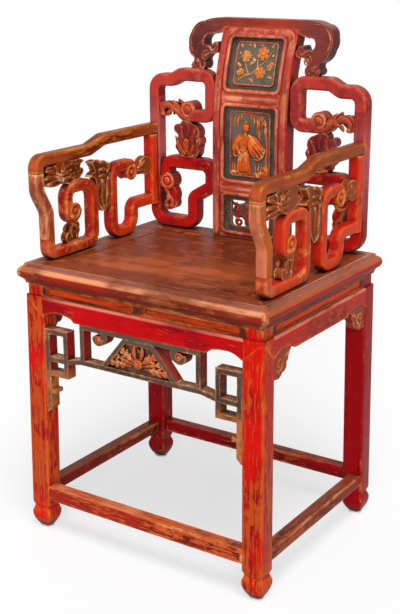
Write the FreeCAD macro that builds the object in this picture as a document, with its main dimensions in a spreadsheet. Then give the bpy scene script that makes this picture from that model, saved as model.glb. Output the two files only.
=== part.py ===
"""An official hat chair in red lacquered hardwood, life size, in millimetres.

The seat is a mitred frame round a floating board, on a recessed waist, four aprons and four
square legs with swelling feet. A fretwork screen hangs under the front apron. The arms and the
flanks of the back are strands of wood with rounded corners and scrolled ends, and the middle of
the back is a bent frame with three panels, capped by a crest whose ends hang down as scrolls.
The sitter faces -Y. The pieces are drawn about the middle of the legs and then all moved, so
that the origin lies on the floor under the middle of the whole chair.
"""
import FreeCAD, Part
import math
import os
from types import SimpleNamespace

import Sketcher
from FreeCAD import Placement, Rotation, Vector

# Driving dimensions
SIZES = {
    # legs
    "leg_span": 510.0,
    "leg_reach": 409.0,
    "leg_width": 42.0,
    "leg_thickness": 37.0,
    "leg_arris": 4.0,
    "leg_splay": 6.0,
    "foot_height": 54.0,
    "foot_toe": 11.0,
    "glide_radius": 10.0,
    # stretchers
    "stretcher_bottom": 66.0,
    "front_stretcher_height": 28.0,
    "rear_stretcher_height": 25.0,
    "side_stretcher_height": 22.0,
    "stretcher_thickness": 25.0,
    "side_stretcher_setback": 3.0,
    # aprons
    "apron_top": 476.0,
    "apron_height": 38.0,
    "apron_thickness": 20.0,
    "apron_lip": 4.0,
    "arch_rise": 11.0,
    "arch_peak": 34.0,
    "arch_run": 64.0,
    "arch_cusp": 6.0,
    # waist
    "waist_height": 21.0,
    "waist_setback": 4.5,
    "waist_thickness": 14.0,
    "waist_panel_height": 11.0,
    "waist_panel_sinking": 2.5,
    "waist_panel_margin": 14.0,
    "neck_width": 30.0,
    # seat
    "frame_thickness": 38.0,
    "rail_width": 62.0,
    "nose_reach": 10.0,
    "groove_depth": 8.0,
    "groove_height": 9.0,
    "groove_drop": 8.0,
    "board_thickness": 18.0,
    "board_drop": 0.8,
    "batten_width": 36.0,
    "batten_height": 20.0,
    # joints
    "tenon_length": 16.0,
    "tenon_thickness": 10.0,
    "fit_clearance": 0.2,
    # fretwork under the front apron
    "fret_bar": 9.5,
    "fret_thickness": 22.0,
    "fret_setback": 1.0,
    "fret_scroll_share": 0.244,
    "fret_scroll_drop": 22.0,
    "fret_cell_height": 53.0,
    "fret_scroll_height": 91.0,
    "fret_tail": 65.0,
    "fret_gap_share": 0.141,
    "fret_frame_height": 78.0,
    "fret_foot_share": 0.385,
    "fret_head_share": 0.155,
    "fret_curl_radius": 11.0,
    "bracket_run": 58.0,
    "bracket_drop": 50.0,
    "bracket_thickness": 16.0,
    # middle of the back; heights are above the seat
    "splat_half": 82.0,
    "stile_width": 20.0,
    "splat_setback": 42.5,
    "splat_thickness": 30.0,
    "bend_start": 205.0,
    "bend_radius": 500.0,
    "splat_top": 402.0,
    "top_rail_height": 12.0,
    "upper_rail_top": 286.0,
    "upper_rail_height": 24.0,
    "lower_rail_top": 112.0,
    "lower_rail_height": 23.0,
    "foot_rail_height": 9.0,
    "panel_setback": 9.0,
    "panel_thickness": 9.0,
    "field_margin": 12.0,
    "field_side_margin": 17.0,
    "field_rise": 4.0,
    "corner_radius": 8.0,
    "crest_rise": 17.5,
    "crest_flat_half": 98.0,
    "crest_half": 156.0,
    "crest_thickness": 28.0,
    "crest_eye": 11.0,
    # flanks of the back; heights are above the seat
    "flank_setback": 34.5,
    "flank_thickness": 27.0,
    "flank_inset": 14.0,
    "flank_top": 323.0,
    "flank_step": 12.0,
    "flank_bar": 25.0,
    "strand_arris": 5.0,
    "upper_loop_height": 104.0,
    "lower_loop_top": 148.0,
    "flank_scroll_radius": 16.0,
    "post_foot": 65.0,
    "post_head_drop": 58.0,
    # arms; heights are above the seat
    "arm_inset": 13.0,
    "arm_thickness": 23.0,
    "arm_bar": 22.0,
    "arm_front_inset": 5.0,
    "arm_bend": 23.0,
    "arm_top": 198.0,
    "arm_rise": 14.0,
    "front_loop_start_share": 0.21,
    "front_loop_share": 0.2625,
    "front_loop_top": 136.0,
    "rear_loop_end_share": 0.188,
    "rear_loop_share": 0.238,
    "rear_loop_top": 152.0,
    "link_top": 70.0,
    "arm_scroll_radius": 14.0,
    "leaf_thickness": 15.0,
    # one overrun for all cuts
    "overrun": 5.0,
}

document = FreeCAD.newDocument("official_hat_chair")
sheet = document.addObject("Spreadsheet::Sheet", "Sizes")
for row, (name, value) in enumerate(SIZES.items(), start=1):
    sheet.set("A%d" % row, name)
    sheet.set("B%d" % row, str(value))
    sheet.setAlias("B%d" % row, name)
document.recompute()
d = SimpleNamespace(**{name: float(sheet.get(name)) for name in SIZES})

# Places that follow from the sizes: heights above the floor, distances from the middle
d.seat_height = d.apron_top + d.waist_height + d.frame_thickness
for name in ("bend_start", "splat_top", "upper_rail_top", "lower_rail_top", "flank_top",
             "lower_loop_top", "post_foot", "arm_top", "front_loop_top", "rear_loop_top", "link_top"):
    setattr(d, name, d.seat_height + getattr(d, name))
d.crest_top = d.splat_top + d.crest_rise
d.upper_loop_bottom = d.flank_top - d.upper_loop_height
d.post_head = d.flank_top - d.post_head_drop
d.fret_run = d.leg_span / 2 - d.leg_width
d.fret_scroll_width = d.fret_run * d.fret_scroll_share
d.splat_front = d.leg_reach / 2 - d.splat_setback
d.flank_front = d.leg_reach / 2 - d.flank_setback
d.flank_half = d.leg_span / 2 - d.flank_inset
d.arm_half = d.leg_span / 2 - d.arm_inset
d.arm_front = d.arm_front_inset - d.leg_reach / 2
d.arm_run = d.flank_front - d.arm_front
d.front_loop_front = d.arm_front + d.arm_run * d.front_loop_start_share
d.front_loop_rear = d.front_loop_front + d.arm_run * d.front_loop_share
d.rear_loop_rear = d.flank_front - d.arm_run * d.rear_loop_end_share
d.rear_loop_front = d.rear_loop_rear - d.arm_run * d.rear_loop_share

# Points nearer to each other than this are one point
SAME_POINT = 0.001

# Finished shapes by the name of the piece
pieces = {}
whole_legs = {}

XY, XZ, YZ = "XY_Plane", "XZ_Plane", "YZ_Plane"


def cell(name):
    return "Sizes." + name


def place(thing, x=None, y=None, z=None):
    """Tie the position of an object to the sheet."""
    for axis, expression in (("x", x), ("y", y), ("z", z)):
        if expression is not None:
            thing.setExpression("Placement.Base." + axis, expression)


# Outlines

def flat(point):
    return Vector(point[0], point[1], 0)


def chain(start, *steps, closed=True):
    """Lines to points, and arcs given as a pair of middle and end, joined into one outline."""
    parts = []
    here = flat(start)
    for step in steps:
        if isinstance(step[0], (tuple, list, Vector)):
            middle, end = flat(step[0]), flat(step[1])
            parts.append(Part.Arc(here, middle, end))
        else:
            end = flat(step)
            parts.append(Part.LineSegment(here, end))
        here = end
    if closed and (here - flat(start)).Length > SAME_POINT:
        parts.append(Part.LineSegment(here, flat(start)))
    return parts


def round_corner(before, corner, after, radius):
    """Where a tangent arc of this radius starts, passes and ends at a corner."""
    towards = (before - corner).normalize()
    away = (after - corner).normalize()
    half = towards.getAngle(away) / 2
    along = radius / math.tan(half)
    bisector = (towards + away).normalize()
    middle = corner + bisector * (radius / math.sin(half) - radius)
    return corner + towards * along, middle, corner + away * along


def rounded(points, radii, closed=True):
    """A polygon or an open run of lines whose corners are rounded by tangent arcs."""
    corners = [flat(point) for point in points]
    if not isinstance(radii, (tuple, list)):
        radii = [radii] * len(corners)
    last = len(corners) - 1
    steps = []
    for index, (corner, radius) in enumerate(zip(corners, radii)):
        if radius == 0 or (not closed and index in (0, last)):
            steps.append((corner,))
            continue
        before = corners[index - 1]
        after = corners[(index + 1) % len(corners)]
        steps.append(round_corner(before, corner, after, radius))
    parts = []
    here = steps[0][-1]
    if len(steps[0]) == 3 and closed:
        parts.append(Part.Arc(*steps[0]))
    for step in steps[1:]:
        if (step[0] - here).Length > SAME_POINT:
            parts.append(Part.LineSegment(here, step[0]))
        if len(step) == 3:
            parts.append(Part.Arc(*step))
        here = step[-1]
    if closed:
        parts.append(Part.LineSegment(here, steps[0][0]))
    return parts


def symmetric(start, *steps):
    """An outline given by its right half, from a start on the middle line back to that line."""
    back = []
    points = [start] + [step[1] if isinstance(step[0], tuple) else step for step in steps]
    for index in range(len(steps) - 1, -1, -1):
        end = (-points[index][0], points[index][1])
        if isinstance(steps[index][0], tuple):
            middle = steps[index][0]
            back.append(((-middle[0], middle[1]), end))
        else:
            back.append(end)
    return chain(start, *steps, *back)


def rectangle(left, bottom, right, top, radius=0):
    corners = [(left, bottom), (right, bottom), (right, top), (left, top)]
    return rounded(corners, radius)


LEGS = {
    "front_left_leg": (-1, -1),
    "front_right_leg": (1, -1),
    "rear_left_leg": (-1, 1),
    "rear_right_leg": (1, 1),
}


# Solids

def new_body(label):
    body = document.addObject("PartDesign::Body", label)
    return body


def sketch_on(body, role, geometry, height=0.0):
    """A sketch on one of the body's own origin planes, moved along the plane's normal."""
    sketch = body.newObject("Sketcher::SketchObject", body.Name + "_sketch")
    plane = [item for item in body.Origin.OriginFeatures if item.Role == role][0]
    sketch.AttachmentSupport = [(plane, "")]
    sketch.MapMode = "FlatFace"
    sketch.AttachmentOffset = Placement(Vector(0, 0, height), Rotation())
    sketch.addGeometry(geometry, False)
    return sketch


def pad(body, role, geometry, length, height=0.0, middle=False, reverse=False):
    """Extrude an outline by a length that is an expression over the sheet."""
    feature = body.newObject("PartDesign::Pad", body.Name + "_pad")
    feature.Profile = sketch_on(body, role, geometry, height)
    feature.setExpression("Length", length)
    feature.Midplane = middle
    feature.Reversed = reverse
    return feature


def pocket(body, role, geometry, length, height=0.0, middle=False, reverse=False):
    """Cut an outline away by a length that is an expression over the sheet."""
    feature = body.newObject("PartDesign::Pocket", body.Name + "_pocket")
    feature.Profile = sketch_on(body, role, geometry, height)
    feature.setExpression("Length", length)
    feature.Midplane = middle
    feature.Reversed = reverse
    return feature


def soften(body, feature, radius, test):
    """Round the edges of a feature that pass a test on their two end points."""
    document.recompute()
    names = []
    for index, edge in enumerate(feature.Shape.Edges, start=1):
        ends = [vertex.Point for vertex in edge.Vertexes]
        if test(ends):
            names.append("Edge%d" % index)
    fillet = body.newObject("PartDesign::Fillet", body.Name + "_fillet")
    fillet.Base = (feature, names)
    fillet.setExpression("Radius", radius)
    return fillet


def strand(label, role, points, radii, bar, thickness, level=0.0):
    """A bar swept along a flat run of lines and arcs that starts upright.

    The bar is measured in the plane of the run and the thickness across it.
    """
    body = new_body(label)
    path = sketch_on(body, role, rounded(points, radii, closed=False))
    start = points[0]
    wide, deep = (thickness, bar) if role == YZ else (bar, thickness)
    across, along = (0.0, start[0]) if role == YZ else (start[0], 0.0)
    section = rectangle(across - wide / 2, along - deep / 2,
                        across + wide / 2, along + deep / 2, d.strand_arris)
    profile = sketch_on(body, XY, section, start[1])
    sweep = body.newObject("PartDesign::AdditivePipe", label + "_sweep")
    sweep.Profile = profile
    sweep.Spine = (path, [])
    return body


def box(label, left, front, bottom, wide, deep, tall):
    """A block from its low corner and its three extents."""
    block = document.addObject("Part::Box", label)
    block.Length = wide
    block.Width = deep
    block.Height = tall
    block.Placement = Placement(Vector(left, front, bottom), Rotation())
    return block


def fuse(label, *parts):
    joined = document.addObject("Part::MultiFuse", label)
    joined.Shapes = list(parts)
    joined.Refine = True
    return joined


def cut(label, base, tool):
    result = document.addObject("Part::Cut", label)
    result.Base = base
    result.Tool = tool
    return result


def common(label, *parts):
    result = document.addObject("Part::MultiCommon", label)
    result.Shapes = list(parts)
    return result


def join(owner, host, centre, extents, along):
    """A tenon on the owner and its mortise in the host, with clearance on all sides but one.

    centre is the middle of the shoulder, extents the tenon's size, and along the unit axis
    (as a signed letter, such as +x) in which it enters the host.
    """
    axis = "xyz".index(along[1])
    sign = 1 if along[0] == "+" else -1
    low = [middle - extent / 2 for middle, extent in zip(centre, extents)]
    low[axis] = centre[axis] - (0 if sign > 0 else extents[axis])
    root = list(low)
    longer = list(extents)
    longer[axis] += d.overrun
    if sign > 0:
        root[axis] -= d.overrun
    peg = box(owner + "_tenon", *root, *longer)
    pieces[owner] = fuse(owner + "_with_tenon", pieces[owner], peg)
    room = [corner - d.fit_clearance for corner in low]
    spans = [extent + 2 * d.fit_clearance for extent in extents]
    slot = box(host + "_mortise", *room, *spans)
    pieces[host] = cut(host + "_mortised", pieces[host], slot)


# Legs

def splay_at(height):
    """How far a leg has moved outward at a height above the floor."""
    return d.leg_splay * (1 - height / d.apron_top)


# Heights up the foot, and how far its faces lie inside the leg's, as shares of foot_height and
# foot_toe: a slight neck, a swelling and a rounded toe
FOOT_SHARES = ((0.92, 0.14), (0.84, 0.27), (0.74, 0.1), (0.62, -0.08), (0.48, -0.05),
               (0.34, 0.12), (0.2, 0.42), (0.1, 0.72), (0.055, 1.0))


def leg_section(body, side, end, height, inset=0.0):
    """The rounded square of a leg at a height, drawn in by an inset on all sides."""
    x = side * (d.leg_span / 2 - d.leg_width / 2 + splay_at(height))
    y = end * (d.leg_reach / 2 - d.leg_thickness / 2 + splay_at(height))
    wide = d.leg_width / 2 - inset
    deep = d.leg_thickness / 2 - inset
    arris = d.leg_arris * (1 + 0.6 * inset / d.foot_toe)
    return sketch_on(body, XY, rectangle(x - wide, y - deep, x + wide, y + deep, arris), height)


def tenon_place(side, end):
    """The middle of a leg's neck and of the tenon above it."""
    x = side * (d.leg_span / 2 - d.waist_setback - d.neck_width / 2)
    y = end * (d.leg_reach / 2 - d.waist_setback - d.neck_width / 2)
    return x, y


def leg(label, side, end):
    """A square leg, leaning a little outward, with a swelling foot below and a neck above."""
    body = new_body(label)
    shaft = body.newObject("PartDesign::AdditiveLoft", label + "_shaft")
    shaft.Profile = leg_section(body, side, end, d.foot_height)
    shaft.Sections = [leg_section(body, side, end, d.apron_top)]
    shaft.Ruled = True
    foot = body.newObject("PartDesign::AdditiveLoft", label + "_foot")
    foot.Profile = leg_section(body, side, end, d.foot_height)
    foot.Sections = [
        leg_section(body, side, end, d.foot_height * height_share, d.foot_toe * inset_share)
        for height_share, inset_share in FOOT_SHARES
    ]
    foot.Ruled = True
    x, y = tenon_place(side, end)
    half = d.neck_width / 2
    pad(body, XY, rectangle(x - half, y - half, x + half, y + half), cell("waist_height"), d.apron_top)
    half = d.tenon_thickness
    top = d.apron_top + d.waist_height
    pad(body, XY, rectangle(x - half, y - half, x + half, y + half), cell("tenon_length"), top)
    pieces[label] = body
    whole_legs[label] = body


def foot_glides():
    """Four plastic discs pressed under the feet, which carry the chair."""
    discs = []
    for label, (side, end) in LEGS.items():
        disc = document.addObject("Part::Cylinder", label + "_glide")
        disc.setExpression("Radius", cell("glide_radius"))
        disc.setExpression("Height", "Sizes.foot_height * %s" % FOOT_SHARES[-1][0])
        x = side * (d.leg_span / 2 - d.leg_width / 2 + d.leg_splay)
        y = end * (d.leg_reach / 2 - d.leg_thickness / 2 + d.leg_splay)
        disc.Placement = Placement(Vector(x, y, 0), Rotation())
        discs.append(disc)
    group = document.addObject("Part::Compound", "foot_glides")
    group.Links = discs
    pieces["foot_glides"] = group


# Stretchers

def stretcher(label, role, outer, height, length, sides):
    """A low rail between two legs, shouldered against their leaning faces."""
    body = new_body(label)
    low = min(outer, outer - math.copysign(d.stretcher_thickness, outer))
    outline = rectangle(low, 0, low + d.stretcher_thickness, getattr(d, height), d.leg_arris / 2)
    pad(body, role, outline, length, middle=True)
    place(body, z=cell("stretcher_bottom"))
    pieces[label] = body
    for host in sides:
        pieces[label] = cut(label + "_shouldered_at_" + host, pieces[label], pieces[host])


def stretchers():
    """Four stretchers at one level, tenoned into the legs."""
    middle = d.stretcher_bottom + d.side_stretcher_height / 2
    out = splay_at(middle)
    half_x = d.leg_span / 2 + out
    half_y = d.leg_reach / 2 + out
    inside_x = half_x - d.leg_width
    inside_y = half_y - d.leg_thickness
    long_run = "Sizes.leg_span - 2 * Sizes.leg_width + 2 * Sizes.leg_splay + Sizes.overrun"
    short_run = "Sizes.leg_reach - 2 * Sizes.leg_thickness + 2 * Sizes.leg_splay + Sizes.overrun"
    stretcher("front_stretcher", YZ, -half_y, "front_stretcher_height", long_run,
              ("front_left_leg", "front_right_leg"))
    stretcher("rear_stretcher", YZ, half_y, "rear_stretcher_height", long_run,
              ("rear_left_leg", "rear_right_leg"))
    outer = half_x - d.side_stretcher_setback
    stretcher("left_stretcher", XZ, -outer, "side_stretcher_height", short_run,
              ("front_left_leg", "rear_left_leg"))
    stretcher("right_stretcher", XZ, outer, "side_stretcher_height", short_run,
              ("front_right_leg", "rear_right_leg"))
    tall = d.side_stretcher_height * 0.6
    for label, (side, end) in LEGS.items():
        across = "front_stretcher" if end < 0 else "rear_stretcher"
        along = "left_stretcher" if side < 0 else "right_stretcher"
        shoulder = (side * inside_x, end * (half_y - d.stretcher_thickness / 2), middle)
        join(across, label, shoulder, (d.tenon_length, d.tenon_thickness, tall), "+x" if side > 0 else "-x")
        shoulder = (side * (outer - d.stretcher_thickness / 2), end * inside_y, middle)
        half_length = d.tenon_length / 2
        join(along, label, shoulder, (d.tenon_thickness, half_length, tall), "+y" if end > 0 else "-y")


# Turns about the upright, and which half size of the chair each side lies at
SIDES = {
    "front": (0, "0", "-Sizes.leg_reach / 2"),
    "rear": (180, "0", "Sizes.leg_reach / 2"),
    "left": (-90, "-Sizes.leg_span / 2", "0"),
    "right": (90, "Sizes.leg_span / 2", "0"),
}


def turn_to(thing, side):
    """Turn a piece drawn with its outer face on y = 0 to its side of the chair."""
    angle, x, y = SIDES[side]
    thing.Placement = Placement(Vector(), Rotation(Vector(0, 0, 1), angle))
    place(thing, x=x, y=y)


def side_run(side):
    """Length of a side of the chair and the size of the legs along it."""
    if side in ("front", "rear"):
        return d.leg_span, d.leg_width
    return d.leg_reach, d.leg_thickness


def mitre(body, half, reach, inward):
    """Cut both ends of a rail at 45 degrees, from its outer corners inward."""
    for sign in (-1, 1):
        corner = [
            (sign * (half + reach), -reach),
            (sign * (half + reach), inward),
            (sign * (half - inward), inward),
        ]
        through = "2 * (Sizes.apron_top + Sizes.waist_height + Sizes.frame_thickness + Sizes.overrun)"
        pocket(body, XY, rounded(corner, 0), through, middle=True)


# Aprons

def apron(side):
    """A rail mitred into the legs' faces, its lower edge arched beside each leg down to a cusp."""
    run, leg_size = side_run(side)
    label = side + "_apron"
    body = new_body(label)
    half = run / 2
    inner = half - leg_size
    bottom = d.apron_top - d.apron_height
    peak = inner - d.arch_peak
    cusp = inner - d.arch_run
    rise = bottom + d.arch_rise
    arch_share, shoulder_share = 0.75, 0.88
    outline = symmetric(
        (0, d.apron_top),
        (half, d.apron_top),
        (inner, bottom),
        ((inner - d.arch_peak * 0.4, bottom + d.arch_rise * arch_share), (peak, rise)),
        (((peak + cusp) / 2, bottom + d.arch_rise * shoulder_share), (cusp, bottom + d.arch_cusp)),
        (cusp - d.arch_cusp, bottom),
        (0, bottom),
    )
    board = pad(body, XZ, outline, cell("apron_thickness"), reverse=True)
    soften(body, board, cell("apron_lip"), lambda ends: all(
        abs(end.y) < SAME_POINT and abs(end.z - d.apron_top) < SAME_POINT for end in ends))
    mitre(body, half, d.overrun, d.apron_thickness + d.overrun)
    turn_to(body, side)
    pieces[label] = body


# Waist

def waist(side):
    """A recessed strip between the legs' necks, with long sunken panels."""
    run, _ = side_run(side)
    label = side + "_waist"
    body = new_body(label)
    half = run / 2 - d.waist_setback - d.neck_width
    front = d.waist_setback
    outline = rectangle(-half, d.apron_top, half, d.apron_top + d.waist_height)
    pad(body, XZ, outline, cell("waist_thickness"), -front, reverse=True)
    low = d.apron_top + (d.waist_height - d.waist_panel_height) / 2
    high = low + d.waist_panel_height
    inner = d.waist_panel_margin
    outer = half - d.waist_panel_margin
    spans = [(-outer, -inner), (inner, outer)] if side in ("front", "rear") else [(-outer, outer)]
    for left, right in spans:
        panel = rectangle(left, low, right, high, d.waist_panel_height / 3)
        pocket(body, XZ, panel, cell("waist_panel_sinking"), -front)
    turn_to(body, side)
    pieces[label] = body


# Seat

def nose_profile():
    """Section of a seat rail: a step, a full nose, a hollow and a fillet outside, a groove inside."""
    top = d.seat_height
    deep = d.frame_thickness
    reach = d.nose_reach
    inner = d.rail_width
    groove = top - d.groove_drop

    def at(out_share, down_share):
        return -reach * out_share, top - deep * down_share

    return chain(
        (0, top),
        at(0.14, 0.12),
        (at(0.8, 0.24), at(1.0, 0.43)),
        (at(0.9, 0.6), at(0.55, 0.71)),
        (at(0.23, 0.775), at(0.0, 0.895)),
        at(-0.1, 1.0),
        (inner, top - deep),
        (inner, groove - d.groove_height),
        (inner - d.groove_depth, groove - d.groove_height),
        (inner - d.groove_depth, groove),
        (inner, groove),
        (inner, top),
    )


def seat_rail(side):
    """One of the four mitred rails of the seat, moulded outside and grooved for the board."""
    run, _ = side_run(side)
    label = side + "_seat_rail"
    body = new_body(label)
    length = "%s + 2 * (Sizes.nose_reach + Sizes.overrun)" % (
        "Sizes.leg_span" if side in ("front", "rear") else "Sizes.leg_reach")
    pad(body, YZ, nose_profile(), length, middle=True)
    mitre(body, run / 2, d.nose_reach + 2 * d.overrun, d.rail_width + d.overrun)
    turn_to(body, side)
    pieces[label] = body


def seat_board():
    """A board that floats in the rails' grooves, with a batten across its underside."""
    body = new_body("seat_board")
    half_x = d.leg_span / 2 - d.rail_width - d.fit_clearance
    half_y = d.leg_reach / 2 - d.rail_width - d.fit_clearance
    top = d.seat_height - d.board_drop
    bottom = top - d.board_thickness
    pad(body, XY, rectangle(-half_x, -half_y, half_x, half_y), cell("board_thickness"), bottom)
    reach = d.groove_depth - d.fit_clearance
    tongue = rectangle(-half_x - reach, -half_y - reach, half_x + reach, half_y + reach)
    low = d.seat_height - d.groove_drop - d.groove_height + d.fit_clearance
    pad(body, XY, tongue, "Sizes.groove_height - 2 * Sizes.fit_clearance", low)
    pieces["seat_board"] = body

    batten = new_body("seat_batten")
    half = d.batten_width / 2
    run = d.leg_reach / 2 - d.rail_width
    outline = rectangle(-half, -run, half, run)
    pad(batten, XY, outline, cell("batten_height"), bottom - d.batten_height)
    pieces["seat_batten"] = batten
    middle = bottom - d.batten_height / 2
    extents = (d.batten_width / 2, d.tenon_length, d.tenon_thickness)
    join("seat_batten", "front_seat_rail", (0, -run, middle), extents, "-y")
    join("seat_batten", "rear_seat_rail", (0, run, middle), extents, "+y")


def seat_mortises():
    """Holes in the corners of the seat frame for the legs' tenons."""
    for label, (side, end) in LEGS.items():
        x, y = tenon_place(side, end)
        half = d.tenon_thickness + d.fit_clearance
        low = d.apron_top + d.waist_height - d.overrun
        tall = d.tenon_length + d.overrun + d.fit_clearance
        slot = box(label + "_slot", x - half, y - half, low, 2 * half, 2 * half, tall)
        for host in ("left" if side < 0 else "right", "front" if end < 0 else "rear"):
            rail = host + "_seat_rail"
            pieces[rail] = cut(rail + "_over_" + label, pieces[rail], slot)


# Fretwork

def fret_plate(label, *outlines):
    """Sticks of fretwork cut from one thickness, behind the front of the legs."""
    body = new_body(label)
    geometry = [item for outline in outlines for item in outline]
    pad(body, XZ, geometry, cell("fret_thickness"), reverse=True)
    place(body, y="-Sizes.leg_reach / 2 + Sizes.fret_setback")
    pieces[label] = body


def fret_scroll(label, side):
    """A stepped square scroll beside a leg: two cells, a nub and a long tail down the leg."""
    leg_face = d.fret_run
    bar = d.fret_bar
    inner = leg_face - d.fret_scroll_width
    top = d.apron_top - d.apron_height - d.fret_scroll_drop
    bottom = top - d.fret_scroll_height
    rung = top - d.fret_cell_height
    into_leg = leg_face + d.overrun
    edge = leg_face - bar
    nub = bottom - 2.9 * bar
    outer = [
        (into_leg, top), (inner, top), (inner, bottom), (edge, bottom), (edge, nub),
        (edge - bar, nub), (edge - bar, nub - 0.8 * bar), (edge, nub - 0.8 * bar),
        (edge, bottom - d.fret_tail), (leg_face, bottom - d.fret_tail - bar),
        (into_leg, bottom - d.fret_tail - bar),
    ]
    upper = [(inner + bar, top - bar), (edge, top - bar), (edge, rung), (inner + bar, rung)]
    under = rung - bar
    lower = [(inner + bar, under), (edge, under), (edge, bottom + bar), (inner + bar, bottom + bar)]
    turned = [[(side * x, z) for x, z in outline] for outline in (outer, upper, lower)]
    fret_plate(label, *[rounded(outline, 0) for outline in turned])
    host = "front_right_leg" if side > 0 else "front_left_leg"
    pieces[label] = cut(label + "_fitted", pieces[label], whole_legs[host])


def fret_frame():
    """The sticks between the two scrolls, hung under the apron, with two curls."""
    bar = d.fret_bar
    meet = d.fret_run - d.fret_scroll_width
    half = meet - d.fret_run * d.fret_gap_share
    top = d.apron_top - d.apron_height
    foot = top - d.fret_frame_height + bar
    under = top - bar
    post = half - bar
    reach = d.fret_curl_radius
    curl = 2.1 * d.fret_run * d.fret_head_share
    fret_plate("fret_upper_frame", symmetric(
        (0, top),
        (half, top),
        (half, foot),
        (post, foot),
        (post, under),
        (curl + 1.5 * reach, under),
        ((curl + 1.55 * reach, under - 0.75 * reach), (curl + 2 * reach, under - 0.8 * reach)),
        ((curl + 2.7 * reach, under - 0.6 * reach), (curl + 2.9 * reach, under - 1.2 * reach)),
        ((curl + 2.1 * reach, under - 2.1 * reach), (curl + 1.0 * reach, under - 1.95 * reach)),
        ((curl + 0.05 * reach, under - 1.2 * reach), (curl, under)),
        (0, under),
    ))
    rung = top - d.fret_scroll_drop - d.fret_cell_height
    fret_plate("fret_lower_bar", symmetric(
        (0, foot),
        (half, foot),
        (meet, rung),
        (meet, rung - bar),
        (half, foot - bar),
        (0, foot - bar),
    ))


def fret_centre():
    """A pierced panel in the middle of the fretwork: a leafy spray inside a splayed frame."""
    bar = d.fret_bar
    foot_half = d.fret_run * d.fret_foot_share
    head_half = d.fret_run * d.fret_head_share
    top = d.apron_top - d.apron_height - bar
    foot = d.apron_top - d.apron_height - d.fret_frame_height + bar
    tall = top - foot
    lean = 1.3 * bar
    frame = symmetric(
        (0, top),
        (head_half, top),
        (foot_half, foot),
        (foot_half - lean, foot),
        (head_half - 0.5 * bar, top - 0.85 * bar),
        (0, top - 0.85 * bar),
    )
    fret_plate("fret_centre", frame)
    spray = new_body("fret_spray")
    wide = foot_half - lean

    def at(x_share, z_share):
        return wide * x_share, foot + tall * z_share

    lobes = symmetric(
        at(0, 0.62),
        (at(0.08, 0.82), at(0.24, 0.84)),
        (at(0.42, 0.86), at(0.44, 0.62)),
        (at(0.62, 0.66), at(0.66, 0.44)),
        (at(0.84, 0.4), at(0.86, 0.1)),
        (at(0.7, 0.02), at(0.58, 0.0)),
        at(0, 0.0),
    )
    pad(spray, XZ, lobes, "Sizes.fret_thickness * 0.6", reverse=True)
    place(spray, y="-Sizes.leg_reach / 2 + Sizes.fret_setback + Sizes.fret_thickness * 0.2")
    pieces["fret_centre"] = fuse("fret_centre_carved", pieces["fret_centre"], spray)


def side_brackets():
    """Four small carved brackets in the corners under the side aprons."""
    solids = []
    for label, (side, end) in LEGS.items():
        body = new_body("bracket_at_" + label)
        leg_face = d.leg_reach / 2 - d.leg_thickness
        top = d.apron_top - d.apron_height + d.arch_rise
        run = d.bracket_run
        drop = d.bracket_drop

        def at(run_share, drop_share):
            return end * (leg_face - run * run_share), top - drop * drop_share

        lobes = chain(
            (end * (leg_face + d.overrun), top),
            (end * (leg_face + d.overrun), top - drop),
            at(0.1, 1.0),
            (at(0.36, 1.0), at(0.5, 0.86)),
            (at(0.7, 0.8), at(0.72, 0.58)),
            (at(0.84, 0.44), at(0.78, 0.26)),
            (at(0.96, 0.2), at(1.0, 0.0)),
        )
        pad(body, YZ, lobes, cell("bracket_thickness"), middle=True)
        shift = "Sizes.leg_span / 2 - Sizes.apron_thickness / 2"
        place(body, x=shift if side > 0 else "-(%s)" % shift)
        fitted = cut(body.Name + "_at_leg", body, whole_legs[label])
        host = "left_apron" if side < 0 else "right_apron"
        solids.append(cut(body.Name + "_fitted", fitted, pieces[host]))
    group = document.addObject("Part::Compound", "side_brackets")
    group.Links = solids
    pieces["side_brackets"] = group


# Middle of the back

def bend(height, setback=0.0):
    """Distance back of the bent front surface of the back at a height."""
    if height <= d.bend_start:
        return d.splat_front + setback
    radius = d.bend_radius - setback
    return d.splat_front + d.bend_radius - math.sqrt(radius ** 2 - (height - d.bend_start) ** 2)


def bent_slab(label, setback, thickness):
    """A thick sheet that rises straight from the seat and bends backward near its top."""
    body = new_body(label)
    centre = d.splat_front + d.bend_radius
    front = d.bend_radius - setback
    back = front - thickness
    turn = math.asin((d.crest_top + d.overrun - d.bend_start) / back)

    def on(radius, angle):
        return centre - radius * math.cos(angle), d.bend_start + radius * math.sin(angle)

    low = d.seat_height
    outline = chain(
        (centre - back, low),
        (centre - front, low),
        (centre - front, d.bend_start),
        (on(front, turn / 2), on(front, turn)),
        on(back, turn),
        (on(back, turn / 2), (centre - back, d.bend_start)),
    )
    pad(body, YZ, outline, "2 * Sizes.crest_half + 2 * Sizes.overrun", middle=True)
    return body


def bent_piece(label, slab, *outlines):
    """A piece of the back sawn to an outline from a bent thickness."""
    body = new_body(label)
    geometry = [item for outline in outlines for item in outline]
    pad(body, XZ, geometry, "Sizes.leg_reach / 2 + Sizes.bend_radius / 2", reverse=True)
    pieces[label] = common(label + "_bent", body, slab)


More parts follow.
